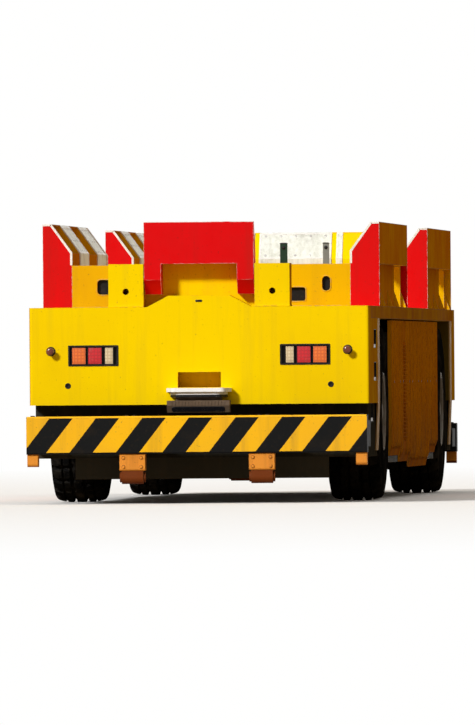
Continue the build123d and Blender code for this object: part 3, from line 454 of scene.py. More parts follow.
def wornMetal(name, recipe):
    # rubbed metal: scratches along one way, dull patches, rust in the pits, bright edges
    g = Graph(name)
    recipe = {**metalUsual, **recipe}
    lines = g.noise(**metalWear["lines"], along=g.stretched(recipe["scratch"]))
    colour = g.blend(g.span(lines, *metalWear["dull"]), recipe["bright"], recipe["dull"])
    colour = g.blend(g.patches(**metalWear["soot"]), colour, metalWear["sootColour"])
    rustHigh = recipe["rustFrom"] + metalWear["rustRange"]
    rust = g.patches(**metalWear["rust"], low=recipe["rustFrom"], high=rustHigh)
    colour = g.blend(rust, colour, recipe["rust"])
    edge = g.maths("MULTIPLY", g.edges(metalWear["edgeRadius"]), g.patches(**metalWear["edge"]))
    g.finish("Base Color", g.blend(edge, colour, recipe["bright"]))
    g.finish("Metallic", recipe["metal"])
    g.finish("Specular IOR Level", recipe["gloss"])
    least, most = (recipe["rough"] + shift for shift in metalWear["coarseRange"])
    rough = g.span(lines, *metalWear["coarse"], least, most)
    g.finish("Roughness", g.maths("ADD", rough, g.maths("MULTIPLY", rust, metalWear["rustRough"])))
    g.bump(lines, *metalWear["relief"])
    return g.material


# Rubber and plastic: clean and dusty shades, the noise above which dust shows, roughness, and the grain
# in cells a metre
rubberUsual = {"gloss": 0.10}
rubberRecipes = {
    "tyreRubber": {
        "fresh": (0.006, 0.006, 0.006), "dusty": (0.042, 0.036, 0.028), "dustFrom": 0.46, "rough": 0.88,
        "grain": 90.0, "gloss": 0.0},
    "bumperRubber": {
        "fresh": (0.002, 0.002, 0.002), "dusty": (0.018, 0.013, 0.009), "dustFrom": 0.54, "rough": 0.74,
        "grain": 120.0},
    "blackPlastic": {
        "fresh": (0.014, 0.013, 0.013), "dusty": (0.05, 0.043, 0.034), "dustFrom": 0.55, "rough": 0.48,
        "grain": 260.0},
    "glassDark": {
        "fresh": (0.010, 0.010, 0.013), "dusty": (0.04, 0.035, 0.03), "dustFrom": 0.60, "rough": 0.22,
        "grain": 60.0, "gloss": 0.5},
}
rubberWear = {
    "dust": {"scale": 4.5, "detail": 7.0, "rough": 0.65},
    "dustRange": 0.24,
    "scuff": {"scale": 28.0, "low": 0.58, "high": 0.70, "most": 0.5},
    "edge": {"scale": 16.0, "low": 0.40, "high": 0.62, "most": 0.8},
    "edgeRadius": 0.006,
    "roughShift": 0.12,             # clean rubber is that much smoother, dusty that much rougher
    "grainDetail": 2.0,
    "dents": {"scale": 11.0, "detail": 4.0},
    "dentShare": 0.5,
    "relief": (0.4, 0.003),
}


def rubber(name, recipe):
    # black rubber or plastic with dust lying in patches, pale rubbed edges and a fine grain
    g = Graph(name)
    recipe = {**rubberUsual, **recipe}
    dustHigh = recipe["dustFrom"] + rubberWear["dustRange"]
    dust = g.patches(**rubberWear["dust"], low=recipe["dustFrom"], high=dustHigh)
    rubbed = g.maths("MULTIPLY", g.edges(rubberWear["edgeRadius"]), g.patches(**rubberWear["edge"]))
    share = g.maths("MAXIMUM", g.maths("MAXIMUM", dust, g.patches(**rubberWear["scuff"])), rubbed)
    g.finish("Base Color", g.blend(share, recipe["fresh"], recipe["dusty"]))
    smooth, coarse = recipe["rough"] - rubberWear["roughShift"], recipe["rough"] + rubberWear["roughShift"]
    g.finish("Roughness", g.span(share, 0.0, 1.0, smooth, coarse))
    g.finish("Specular IOR Level", recipe["gloss"])
    grain = g.noise(recipe["grain"], rubberWear["grainDetail"])
    g.bump(g.blend(rubberWear["dentShare"], grain, g.noise(**rubberWear["dents"])), *rubberWear["relief"])
    return g.material


# Lenses: shades of the cells' middles and of the lines between them, cells a metre, glossy skin
lensUsual = {"skin": 0.2}
lensRecipes = {
    "amberLens": {"colour": (0.92, 0.20, 0.012), "deep": (0.60, 0.09, 0.008), "cells": 34.0},
    "redLens": {"colour": (0.70, 0.002, 0.010), "deep": (0.40, 0.001, 0.005), "cells": 34.0},
    "creamLens": {"colour": (0.80, 0.66, 0.42), "deep": (0.52, 0.38, 0.20), "cells": 34.0},
    "headGlass": {"colour": (0.80, 0.82, 0.78), "deep": (0.40, 0.40, 0.36), "cells": 90.0},
    "buttonRed": {"colour": (0.17, 0.030, 0.004), "deep": (0.10, 0.016, 0.003), "cells": 12.0, "skin": 0.0},
}
lensWear = {
    "dirt": {"scale": 14.0, "detail": 5.0, "low": 0.55, "high": 0.80, "most": 0.40},
    "dirtColour": (0.10, 0.06, 0.04),
    "line": (0.1, 0.55),            # distance from a cell's middle over which it turns to the deep shade
    "rough": (0.20, 0.5),           # clean and dirty
    "skinRough": 0.10,
    "relief": (0.5, 0.003),
}


def lens(name, recipe):
    # moulded lamp plastic: square cells that catch the light, dirt, and a glossy skin
    g = Graph(name)
    recipe = {**lensUsual, **recipe}
    inputs = {"Vector": g.place, "Scale": recipe["cells"], "Randomness": 0.0}
    cells = g.add("TexVoronoi", inputs, distance="CHEBYCHEV").outputs["Distance"]
    colour = g.blend(g.span(cells, *lensWear["line"]), recipe["colour"], recipe["deep"])
    dirt = g.patches(**lensWear["dirt"])
    g.finish("Base Color", g.blend(dirt, colour, lensWear["dirtColour"]))
    g.finish("Roughness", g.span(dirt, 0.0, lensWear["dirt"]["most"], *lensWear["rough"]))
    g.finish("Coat Weight", recipe["skin"])
    g.finish("Coat Roughness", lensWear["skinRough"])
    g.bump(cells, *lensWear["relief"])
    return g.material


makers = ((paint, paintRecipes), (wornMetal, metalRecipes), (rubber, rubberRecipes), (lens, lensRecipes))
materials = {name: make(name, recipe) for make, recipes in makers for name, recipe in recipes.items()}

# The record's slot of each node decides its finish, apart from the nodes named below
slotFinish = {
    "yellow_paint": "yellowPaint", "hazard_yellow": "hazardYellow", "red_paint": "redPaint",
    "pale_steel": "guideSteel", "dark_frame": "darkFrame", "black_bumper": "bumperRubber",
    "bare_steel": "wornSteel", "tyre_rubber": "tyreRubber", "rim_paint": "rimPaint",
    "amber_plastic": "amberLens", "red_plastic": "redLens", "cream_plastic": "creamLens",
    "black_plastic": "blackPlastic", "white_plastic": "whitePaint", "button_red": "buttonRed",
    "lamp_glass": "headGlass",
}
nodeFinish = {
    "side_doors": "doorYellow", "left_guides": "guideYellow", "right_guides": "guideYellow",
    "load_deck": "deckPaint", "tow_lugs": "lugPaint", "scanner_hood": "hoodWhite", "scanners": "scannerGrey",
    "deck_posts": "postPaint", "bay_edge_strips": "stripPaint", "nose_boxes": "nosePaint",
    "rear_bulkhead": "guideYellow",
}
slotOf = {part["node"]: part["material_slot"] for part in frame["record"]["subparts"]}
for node, thing in cadNodes.items():
    thing.data.materials.clear()
    thing.data.materials.append(materials[nodeFinish.get(node, slotFinish[slotOf[node]])])
print("finishes on", len(cadNodes), "nodes")


# Shapes: each is (points, list of face arrays), made in its own plane and then put in its place

def gridFaces(rows, columns, wrapRows=False, wrapColumns=False):
    # quads between neighbouring points of a rows by columns grid, joined round where it wraps
    steps = np.arange(rows if wrapRows else rows - 1), np.arange(columns if wrapColumns else columns - 1)
    i, j = np.meshgrid(*steps, indexing="ij")
    here, there = i * columns, (i + 1) % rows * columns
    following = (j + 1) % columns
    return np.stack([here + j, there + j, there + following, here + following], -1).reshape(-1, 4)


def lofted(levels):
    # rings of equal count joined one after the other, the first and last closed by a flat face
    rows, columns = levels.shape[:2]
    ring = np.arange(columns)[None]
    return levels.reshape(-1, 3), [gridFaces(rows, columns, False, True), ring, ring + (rows - 1) * columns]


def looped(levels):
    # rings of equal count joined one after the other and the last to the first
    rows, columns = levels.shape[:2]
    return levels.reshape(-1, 3), [gridFaces(rows, columns, True, True)]


def stacked(outlines, heights):
    # each flat outline lifted to its height
    return np.stack([np.column_stack([ring, np.full(len(ring), z)]) for ring, z in zip(outlines, heights)])


def roundedOutline(width, height, radius, steps=4):
    # a rectangle's corners as quarter turns of the radius, anticlockwise from the right upper one
    turn = np.linspace(0, np.pi / 2, steps)[None, :] + np.arange(4)[:, None] * np.pi / 2
    middle = np.array([[1, 1], [-1, 1], [-1, -1], [1, -1]]) * [width / 2 - radius, height / 2 - radius]
    return (middle[:, None, :] + radius * np.stack([np.cos(turn), np.sin(turn)], -1)).reshape(-1, 2)


def polygonRing(radius, sides=6, columns=12):
    # a polygon's reach each way: its inner radius over the cosine of the angle from the side's middle
    turn = np.linspace(0, 2 * np.pi, columns, endpoint=False)
    part = np.pi / sides
    reach = radius * np.cos(part) / np.cos(turn % (2 * part) - part)
    return np.stack([reach * np.cos(turn), reach * np.sin(turn)], -1)


def plateShape(width, height, radius, thick, bevel=0.001, steps=4, least=0.0004):
    # a rounded rectangle lifted by its thickness, the last of it drawn in by the bevel
    full = roundedOutline(width, height, radius, steps)
    less = roundedOutline(width - 2 * bevel, height - 2 * bevel, max(radius - bevel, least), steps)
    return lofted(stacked((full, full, less), (0.0, thick - bevel, thick)))


def frameShape(width, height, radius, border, thick, bevel=0.001, steps=4, least=0.0015):
    # the same outline with its middle left open: up the outer side, over the flat and down the inner side
    drawn = (0.0, 0.0, bevel, border - bevel, border, border)
    outlines = [roundedOutline(width - 2 * d, height - 2 * d, max(radius - d, least), steps) for d in drawn]
    return looped(stacked(outlines, (0.0, thick - bevel, thick, thick, thick - bevel, 0.0)))


def pillowShape(width, height, radius, base, thick, rows=6, innermost=0.08):
    # shrinking outlines; the height falls from the middle by the fourth power of the share of the way out
    share = np.concatenate([[1.0], np.linspace(1.0, innermost, rows)])
    outlines = [roundedOutline(width * s, height * s, radius * s) for s in share]
    return lofted(stacked(outlines, [0.0] + [base + thick * (1 - s ** 4) for s in share[1:]]))


def turnedShape(profile, columns=24):
    # a profile of (radius, along) points carried round the local z axis
    radius, along = np.array(profile, float).T
    turn = np.linspace(0, 2 * np.pi, columns, endpoint=False)
    ring = radius[:, None, None] * np.stack([np.cos(turn), np.sin(turn)], -1)
    return lofted(np.concatenate([ring, np.broadcast_to(along[:, None, None], (len(along), columns, 1))], -1))


def turnedRing(profile, columns=32):
    # the same for a closed profile, which leaves a hole along the axis
    points, faces = turnedShape(profile, columns)
    return looped(points.reshape(len(profile), columns, 3))


# Heads of fastenings as rings from the base up: share of the radius, sides, share of the height
headRings = {
    "bolt": ((1.45, 12, 0.0), (1.45, 12, 0.2), (1.0, 6, 0.2), (1.0, 6, 0.88), (0.82, 6, 1.0)),
    "screw": ((1.0, 12, 0.0), (1.0, 12, 0.5), (0.8, 12, 1.0), (0.45, 6, 1.0), (0.45, 6, 0.3)),
}


def headShape(kind, radius, height):
    # rings at their shares of radius and height: a chamfered hexagon on a washer, or a low round head
    # with a hexagon sunk into it
    outlines = [polygonRing(share * radius, count) for share, count, rise in headRings[kind]]
    return lofted(stacked(outlines, [rise * height for share, count, rise in headRings[kind]]))


def sweptShape(path, across, section):
    # a closed section of (across, off the surface) points carried along a path of points
    path, across, section = np.asarray(path, float), np.asarray(across, float), np.asarray(section, float)
    ahead = np.gradient(path, axis=0)
    ahead /= np.linalg.norm(ahead, axis=1)[:, None]
    normal = np.cross(ahead, across)
    return lofted(path[:, None] + section[None, :, :1] * across + section[None, :, 1:] * normal[:, None])


def beadShape(start, stop, radius=0.006, pitch=0.016, sides=5, narrow=0.82, swell=0.28):
    # a straight weld bead whose radius swells with the sine of the way along it, once for each pitch
    start, stop = np.array(start, float), np.array(stop, float)
    length = np.linalg.norm(stop - start)
    share = np.linspace(0, 1, max(int(length / pitch * 3), 4))[:, None, None]
    axis = (stop - start) / length
    side = np.cross(axis, (0.31, 0.52, 0.79))       # any direction that no bead runs in
    side /= np.linalg.norm(side)
    turn = np.linspace(0, 2 * np.pi, sides, endpoint=False)[:, None]
    ring = np.cos(turn) * side + np.sin(turn) * np.cross(axis, side)
    reach = radius * (narrow + swell * np.abs(np.sin(np.pi * share * length / pitch)))
    return lofted(start + share * (stop - start) + reach * ring)


# Local right and up of a plane that faces each way; the third direction points out of it
facing = {
    "rear": ((1, 0, 0), (0, 0, 1)), "front": ((-1, 0, 0), (0, 0, 1)), "right": ((0, 1, 0), (0, 0, 1)),
    "left": ((0, -1, 0), (0, 0, 1)), "top": ((1, 0, 0), (0, 1, 0)), "under": ((1, 0, 0), (0, -1, 0)),
}


def repeated(shape, origins, way):
    # copies of a shape at each origin, its local directions turned to the given way
    right, up = (np.array(v, float) for v in (facing[way] if isinstance(way, str) else way))
    points, faces = shape
    turned = points @ np.stack([right, up, np.cross(right, up)])
    placed = turned[None] + np.asarray(origins, float).reshape(-1, 1, 3)
    starts = np.arange(len(placed))[:, None, None] * len(points)
    return placed.reshape(-1, 3), [(group[None] + starts).reshape(-1, group.shape[1]) for group in faces]


def joined(shapes):
    # several shells as one, their point numbers shifted
    starts = np.cumsum([0] + [len(points) for points, faces in shapes])
    groups = [group + start for (points, faces), start in zip(shapes, starts) for group in faces]
    return np.concatenate([points for points, faces in shapes]), groups


def addPiece(name, shapes, finish, body="chassis", crease=32.0):
    # one object from its shapes, faces turned outwards, smooth but for edges sharper than the crease
    points, faces = joined(shapes)
    mesh = bpy.data.meshes.new(name)
    mesh.from_pydata(points.tolist(), [], [face for group in faces for face in group.tolist()])
    shell = bmesh.new()
    shell.from_mesh(mesh)
    bmesh.ops.recalc_face_normals(shell, faces=shell.faces)
    shell.to_mesh(mesh)
    shell.free()
    mesh.polygons.foreach_set("use_smooth", np.full(len(mesh.polygons), True))
    mesh.set_sharp_from_angle(angle=math.radians(crease))
    mesh.materials.append(materials[finish])
    mesh.update()
    thing = bpy.data.objects.new(name, mesh)
    bpy.context.scene.collection.objects.link(thing)
    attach(thing, body)
    return thing


def spread(*ranges):
    # every combination of the values along x, y and z, as rows
    return np.stack(np.meshgrid(*[np.atleast_1d(r) for r in ranges], indexing="ij"), -1).reshape(-1, 3)


def mirrored(*values):
    # each value and its opposite
    return np.outer((-1, 1), values).ravel()


def onCircle(count, radius, turn=0.0):
    # places spaced evenly on a circle that faces along x, the first turned from +Y
    angle = np.arange(count) * 2 * np.pi / count + turn
    return np.stack([np.zeros(count), radius * np.cos(angle), radius * np.sin(angle)], -1)


# In the dictionaries below a plate is (width, height, corner, thickness, bevel, points of a corner), a frame
# has its border before the thickness, a pillow is (width, height, corner, base, bulge), a bolt or screw is
# (radius, height), a weld is (radius, pitch), and a profile's points are (radius, way along)

# Tail lamps: a bezel round each tray, a rim round each lens, and the lenses' bulged skins
lamps = {
    "x": 0.935, "z": 1.305,
    "bezel": (0.444, 0.184, 0.008, 0.014, 0.005),
    "screw": (0.005, 0.002), "screwX": 0.2145, "screwZ": 0.0845,
    "lensFace": 0.012, "lensTall": 0.152,
    "skin": (0.008, 0.001, 0.005), "skinLess": (0.006, 0.004),              # corner, base, bulge
    "rim": (0.006, 0.006, 0.009, 0.002), "rimMore": (0.006, 0.004),         # corner, border, thickness, bevel
    "lenses": {             # middle of each, outwards of the tray's, then its width, finish and slot
        "amber": (0.129, 0.126, "amberLens", "amber_plastic"),
        "red": (-0.013, 0.126, "redLens", "red_plastic"),
        "white": (-0.137, 0.078, "creamLens", "cream_plastic"),
    },
}


def addLamps(size):
    # every piece is set about its tray's middle, and each lens about its own, mirrored left and right
    face, trays = -vehicle["end"], mirrored(size["x"])
    bezels = [repeated(frameShape(*size["bezel"]), spread(trays, face, size["z"]), "rear")]
    screwX = (trays[:, None] + mirrored(size["screwX"])).ravel()
    screwsAt = spread(screwX, face - size["bezel"][-1], size["z"] + mirrored(size["screwZ"]))
    bezels.append(repeated(headShape("screw", *size["screw"]), screwsAt, "rear"))
    for colour, (outwards, wide, finish, slot) in size["lenses"].items():
        places = spread(mirrored(size["x"] + outwards), face + size["lensFace"], size["z"])
        less, more = size["skinLess"], size["rimMore"]
        skin = pillowShape(wide - less[0], size["lensTall"] - less[1], *size["skin"])
        addPiece(f"{colour}_lens_skins", [repeated(skin, places, "rear")], finish)
        rim = frameShape(wide + more[0], size["lensTall"] + more[1], *size["rim"])
        bezels.append(repeated(rim, places, "rear"))
    addPiece("lamp_bezels", bezels, "blackPlastic")


# Stop buttons: mushroom heads on a stalk, with a round base plate, as (radius, out of the face) profiles
buttons = {
    "x": 1.31, "z": {"rear": 1.345, "front": 1.08}, "columns": 28,
    "head": ((0.030, -0.001), (0.030, 0.010), (0.024, 0.013), (0.0225, 0.062), (0.026, 0.064),
             (0.0335, 0.068), (0.0345, 0.076), (0.0325, 0.086), (0.024, 0.0925), (0.012, 0.0945),
             (0.001, 0.0949)),
    "base": ((0.031, 0.0), (0.042, 0.0), (0.042, 0.003), (0.039, 0.005), (0.031, 0.005)),
}


def addStopButtons(size):
    # both profiles turned about the button's axis, one on each side of each end face
    heads, bases = [], []
    for way, sign in ends:
        places = spread(mirrored(size["x"]), sign * vehicle["end"], size["z"][way])
        heads.append(repeated(turnedShape(size["head"], size["columns"]), places, way))
        bases.append(repeated(turnedRing(size["base"], size["columns"]), places, way))
    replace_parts(addPiece("stop_button_heads", heads, "buttonRed"), "stop_buttons")
    addPiece("stop_button_bases", bases, "blackPlastic")


# Head lamps: a shallow fluted dome in a bright ring
headLamps = {
    "x": (1.15, 1.28), "z": 1.36, "radius": 0.0495, "back": -0.044, "base": 0.001, "dome": 0.006,
    "flute": 0.0008, "pitch": 0.011, "columns": 40, "rows": 9, "innermost": 0.02,
    "ring": ((0.0500, -0.002), (0.0585, -0.002), (0.0585, 0.005), (0.056, 0.0078), (0.0515, 0.0078),
             (0.0500, 0.005)),
}


def addHeadLamps(size):
    # the dome falls by the square of the share of the way out; a cosine across it makes the flutes
    share = np.linspace(1.0, size["innermost"], size["rows"])
    dome = zip(size["radius"] * share, size["base"] + size["dome"] * (1 - share ** 2))
    points, faces = turnedShape([(size["radius"], size["back"]), *dome], size["columns"])
    onDome = points[:, 2] > size["base"] + 0.0002       # its outermost ring stays even
    points[:, 2] += onDome * size["flute"] * np.cos(points[:, 0] * 2 * np.pi / size["pitch"])
    places = spread(mirrored(*size["x"]), vehicle["end"], size["z"])
    glass = addPiece("head_lamp_glass", [repeated((points, faces), places, "front")], "headGlass",
                     crease=60)
    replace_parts(glass, "headlamps")
    rings = repeated(turnedRing(size["ring"], size["columns"]), places, "front")
    addPiece("head_lamp_rings", [rings], "wornSteel")


# Scanners: a dark window on the rear one's leaning face, fins over it, the hood's screws, pale lines in front
scanners = {
    "window": (0.47, 0.052, 0.018, 0.004, 0.0015, 6),
    "windowAt": (0, -7.170, 0.830), "windowUp": (0.0, -0.5547, 0.8321),
    "fin": (0.008, 0.034, 0.002, 0.006, 0.001, 3), "fins": 17, "finPitch": 0.029, "finZ": 0.8825,
    "screw": (0.009, 0.003), "screwX": 0.21, "screwY": (-7.05, -7.16),
    "line": (0.34, 0.007, 0.0025, 0.003, 0.001, 3), "lineZ": (0.703, 0.747, 0.797, 0.845),
}


def addScanners(size):
    # plates on the two scanners' outer faces, the fins in one row about the middle
    low, high = cornersOf("scanners")
    window = repeated(plateShape(*size["window"]), [size["windowAt"]], ((1, 0, 0), size["windowUp"]))
    addPiece("scanner_window", [window], "glassDark")
    finX = (np.arange(size["fins"]) - (size["fins"] - 1) / 2) * size["finPitch"]
    fins = repeated(plateShape(*size["fin"]), spread(finX, low[1], size["finZ"]), "rear")
    addPiece("scanner_fins", [fins], "scannerGrey")
    screwsAt = spread(mirrored(size["screwX"]), size["screwY"], cornersOf("scanner_hood")[1][2])
    addPiece("hood_screws", [repeated(headShape("screw", *size["screw"]), screwsAt, "top")], "boltSteel")
    lines = repeated(plateShape(*size["line"]), spread(0, high[1], size["lineZ"]), "front")
    addPiece("front_scanner_lines", [lines], "rubbedSteel")


# Bumpers: a pale strip over each face's top edge, a painted highlight of its rounded edge, and the bolts of the
# arms that carry them
bumpers = {
    "round": 0.014, "edgeOuter": 0.0165, "edgeInner": 0.0138, "edgeDepth": 0.020, "edgeHalf": 1.496,
    "edgePoints": 7,
    "bolt": (0.016, 0.011), "boltX": (0.550, 0.620, 1.45), "boltBack": (0.05, 0.15),
}


def addBumpers(size):
    # the edge's section is a quarter turn over the bumper's rounded corner and a flat lip behind it
    edges, bolts = [], []
    turn = np.linspace(np.pi / 2, np.pi, size["edgePoints"])
    for way, sign in ends:
        low, high = cornersOf(f"{way}_bumper")
        face, top = (low if sign < 0 else high)[1], high[2]
        middle = np.array([face - sign * size["round"], top - size["round"]])
        arc = np.stack([-sign * np.cos(turn), np.sin(turn)], -1)
        outer, inner = middle + size["edgeOuter"] * arc, middle + size["edgeInner"] * arc
        back = (-sign * size["edgeDepth"], 0)
        ring = np.concatenate([[outer[0] + back], outer, inner[::-1], [inner[0] + back]])
        rings = [np.column_stack([np.full(len(ring), x), ring]) for x in mirrored(size["edgeHalf"])]
        edges.append(lofted(np.stack(rings)))
        boltsAt = spread(mirrored(*size["boltX"]), face - sign * np.array(size["boltBack"]), top)
        bolts.append(repeated(headShape("bolt", *size["bolt"]), boltsAt, "top"))
    # the pale strip paints the highlight of the bumper's rounded top edge
    addPiece("bumper_edges", edges, "hazardYellow")
    addPiece("bumper_bolts", bolts, "darkFrame")


# Rubber flap under the front bumper
flap = {
    "half": 1.34, "drop": 0.067, "thick": 0.010, "y": 7.375, "points": 121,
    "wave": 0.006, "ripples": (9.0, 2.3, 0.7),      # depth; two rates along X and the second one's start
    "headShare": 0.2, "liftShare": 0.4,             # of the wave, at the head and in the foot's height
}


def addFlap(size):
    # a strip that hangs in a wave, the product of two sines along its width, stronger at its foot
    across = np.linspace(-size["half"], size["half"], size["points"])
    first, second, start = size["ripples"]
    wave = size["wave"] * np.sin(across * first) * np.sin(across * second + start)
    top = cornersOf("front_bumper")[0][2]
    head = np.column_stack([across, size["y"] + size["headShare"] * wave, np.full(len(across), top)])
    foot = np.column_stack([across, size["y"] + wave, top - size["drop"] - size["liftShare"] * wave])
    thick = (0, size["thick"], 0)
    rings = np.stack([head, foot, foot + thick, head + thick], 1)
    addPiece("front_bumper_flap", [lofted(rings)], "bumperRubber")


# Bolts of the towing eyes
lugs = {
    "bolt": (0.013, 0.010), "boltX": (0.492, 0.648),
    "boltZ": {"rear": (0.325, 0.405), "front": (0.265, 0.345)},
}


def addLugBolts(size):
    # four heads round each eye, on its base plate's outer face
    face = cornersOf("tow_lugs")[1][1]
    bolt = headShape("bolt", *size["bolt"])
    bolts = [repeated(bolt, spread(mirrored(*size["boltX"]), sign * face, size["boltZ"][way]), way)
             for way, sign in ends]
    addPiece("tow_lug_bolts", bolts, "lugPaint")


# Plugs in the round ports of the rear face, and a small cover in its crown
plugs = {
    "portX": 1.16, "portZ": 1.04,
    "port": ((0.0215, -0.050), (0.0215, -0.004), (0.026, 0.0), (0.026, 0.002), (0.018, 0.0025),
             (0.016, -0.012), (0.002, -0.013)),
    "crown": (0.062, 0.020, 0.0095, 0.001, 0.003), "crownZ": 1.782,
}


def addPlugs(size):
    # a turned plug in each port, and one pillow in the middle of the crown
    face = -vehicle["end"]
    portsAt = spread(mirrored(size["portX"]), face, size["portZ"])
    shapes = [repeated(turnedShape(size["port"]), portsAt, "rear"),
              repeated(pillowShape(*size["crown"]), [(0, face, size["crownZ"])], "rear")]
    addPiece("port_and_crown_plugs", shapes, "blackPlastic")


addLamps(lamps)
addStopButtons(buttons)
addHeadLamps(headLamps)
addScanners(scanners)
addBumpers(bumpers)
addFlap(flap)
addLugBolts(lugs)
addPlugs(plugs)
print("ends done")

# Side guides: pale rubbing edges on the end plates, also painted highlights of their lit edges; white borders
# of the wear plates, painted highlights of their lit edges; screws of the wear plates; welds at the feet
guides = {
    "spans": ((-5.337, -0.915), (2.42, 6.449)), "plates": (-5.337, -0.940, 2.42, 6.424), "plateThick": 0.025,
    "edgeThick": 0.003, "edgeReach": 0.016, "edgeWall": 0.0014, "edgeLift": 0.0003,
    "edgeChamfer": (0.002, 0.001),                  # across and down
    "stripLess": 0.003, "stripCorner": 0.003, "stripBevel": 0.0006, "stripDown": 0.001,
    "slopeShare": (0.012, 0.97), "slopePoints": 9, "uprightPoints": 5, "footUp": 0.004,
    "wear": ((-4.276, -3.214), (-2.109, -1.092), (3.387, 4.354), (5.361, 6.288)),
    "posts": 5, "postDepth": 0.09, "weldX": (1.255, 1.43), "weldZ": (1.738, 2.104), "weld": (0.005, 0.016),
    "beside": 0.002, "footX": 1.443, "footZ": 1.733, "footWeld": (0.006, 0.020),
}
wearLook = {"border": (0.006, 0.020, 0.0022), "screwShare": (0.10, 0.48, 0.88), "screwInset": 0.07}
endLook = {"border": (0.006, 0.014, 0.002), "screwShare": (0.14, 0.86), "screwInset": 0.06}
plateTrim = {"narrower": 0.004, "shorter": 0.014, "middle": 0.49, "screw": (0.013, 0.003), "screws": 5}

# End guides: a plate and two strips with borders, which lean as the side guides do
endGuides = {
    "crestBack": 0.075, "kneeBack": 0.26, "plate": (-0.345, 0.345),
    "strips": {"rear": (0.41, 0.47), "front": (0.39, 0.45)},
}


def dressPlate(crest, knee, right, span, look, screwed=True):
    # a border round a plate that leans from knee to crest, and rows of screws at shares of its slope
    slope, right = crest - knee, np.array(right, float)
    length, along = np.linalg.norm(slope), np.abs(right)
    way = (right, slope / length)
    middle = plateTrim["middle"] * crest + (1 - plateTrim["middle"]) * knee + along * sum(span) / 2
    width, height = span[1] - span[0] - plateTrim["narrower"], length - plateTrim["shorter"]
    border = repeated(frameShape(width, height, *look["border"]), [middle], way)
    if not screwed:
        return border, []
    rows = knee + np.array(look["screwShare"])[:, None] * slope
    places = np.linspace(span[0] + look["screwInset"], span[1] - look["screwInset"], plateTrim["screws"])
    spots = rows[:, None] + places[:, None] * along
    return border, [repeated(headShape("screw", *plateTrim["screw"]), spots.reshape(-1, 3), way)]


def plateEdges(size, sign, path, start):
    # a shallow channel swept over one end plate's slope and upright, and a strip at each side of its crest
    middle, wall, thick = size["plateThick"] / 2, size["edgeWall"], size["edgeThick"]
    outer, reach, lift = middle + wall, size["edgeReach"], size["edgeLift"]
    flat, shoulder = outer - size["edgeChamfer"][0], thick - size["edgeChamfer"][1]
    section = ((-outer, shoulder), (-outer, -reach), (-middle, -reach), (-middle, lift), (middle, lift),
               (middle, -reach), (outer, -reach), (outer, shoulder), (flat, thick), (-flat, thick))
    shapes = [sweptShape(path + (0, start + middle, 0), (0, -sign, 0), section)]
    wide = vehicle["half"] - vehicle["crestX"] - size["stripLess"]
    strip = plateShape(wide, reach, size["stripCorner"], wall, size["stripBevel"], steps=3)
    x = sign * (vehicle["half"] + vehicle["crestX"]) / 2
    z = vehicle["guideTop"] - size["stripDown"] - reach / 2
    for y, way in ((start, "rear"), (start + size["plateThick"], "front")):
        shapes.append(repeated(strip, [(x, y, z)], way))
    return shapes


def guideWelds(size, sign):
    # a bead along each panel's foot, and beads at the head and foot of both sides of each post
    welds = []
    for low, high in size["spans"]:
        start, stop = low + size["plateThick"], high - size["plateThick"]
        step = (stop - start - size["postDepth"]) / (size["posts"] - 1)
        x, z = sign * size["footX"], size["footZ"]
        welds.append(beadShape((x, start, z), (x, stop - step, z), *size["footWeld"]))
        posts = start + step * np.arange(size["posts"])
        for y in np.concatenate([posts - size["beside"], posts + size["postDepth"] + size["beside"]]):
            for z in size["weldZ"]:
                welds.append(beadShape(*[(sign * x, y, z) for x in size["weldX"]], *size["weld"]))
    return welds


def addGuides(size):
    # each guide's slope runs from its knee to its crest, and its upright from the knee to the foot
    rubbedAndLit, borders, screws, welds = [], [], [], []
    for name, sign in sides:
        crest = np.array([sign * vehicle["crestX"], 0, vehicle["guideTop"]])
        knee = np.array([sign * vehicle["innerX"], 0, vehicle["guideKnee"]])
        foot = np.array([sign * vehicle["innerX"], 0, vehicle["guideLow"] + size["footUp"]])
        share = np.append(np.linspace(*size["slopeShare"], size["slopePoints"]), 1.0)[:, None]
        upright = np.linspace(knee, foot, size["uprightPoints"])[1:]
        path = np.concatenate([crest + share * (knee - crest), upright])
        for start in size["plates"]:
            rubbedAndLit += plateEdges(size, sign, path, start)
        for span in size["wear"]:
            border, rows = dressPlate(crest, knee, (0, -sign, 0), span, wearLook)
            borders.append(border)
            screws += rows
        welds += guideWelds(size, sign)
    faces = cornersOf("end_guide_brackets")
    for (way, sign), corner in zip(ends, faces):
        crest = np.array([0, corner[1] - sign * endGuides["crestBack"], vehicle["guideTop"]])
        knee = np.array([0, corner[1] - sign * endGuides["kneeBack"], vehicle["guideKnee"]])
        strip = endGuides["strips"][way]
        for span in (endGuides["plate"], strip, (-strip[1], -strip[0])):
            screwed = span is endGuides["plate"]
            border, rows = dressPlate(crest, knee, (sign, 0, 0), span, endLook, screwed)
            borders.append(border)
            screws += rows
    # pale rubbed steel on the end plates' edges, also a painted highlight of their lit edges
    addPiece("end_plate_edges", rubbedAndLit, "rubbedSteel")
    # white borders round the wear plates: painted highlights of their lit edges
    addPiece("wear_plate_borders", borders, "whitePaint")
    addPiece("wear_plate_screws", screws, "wornSteel")
    addPiece("guide_welds", welds, "guideYellow")


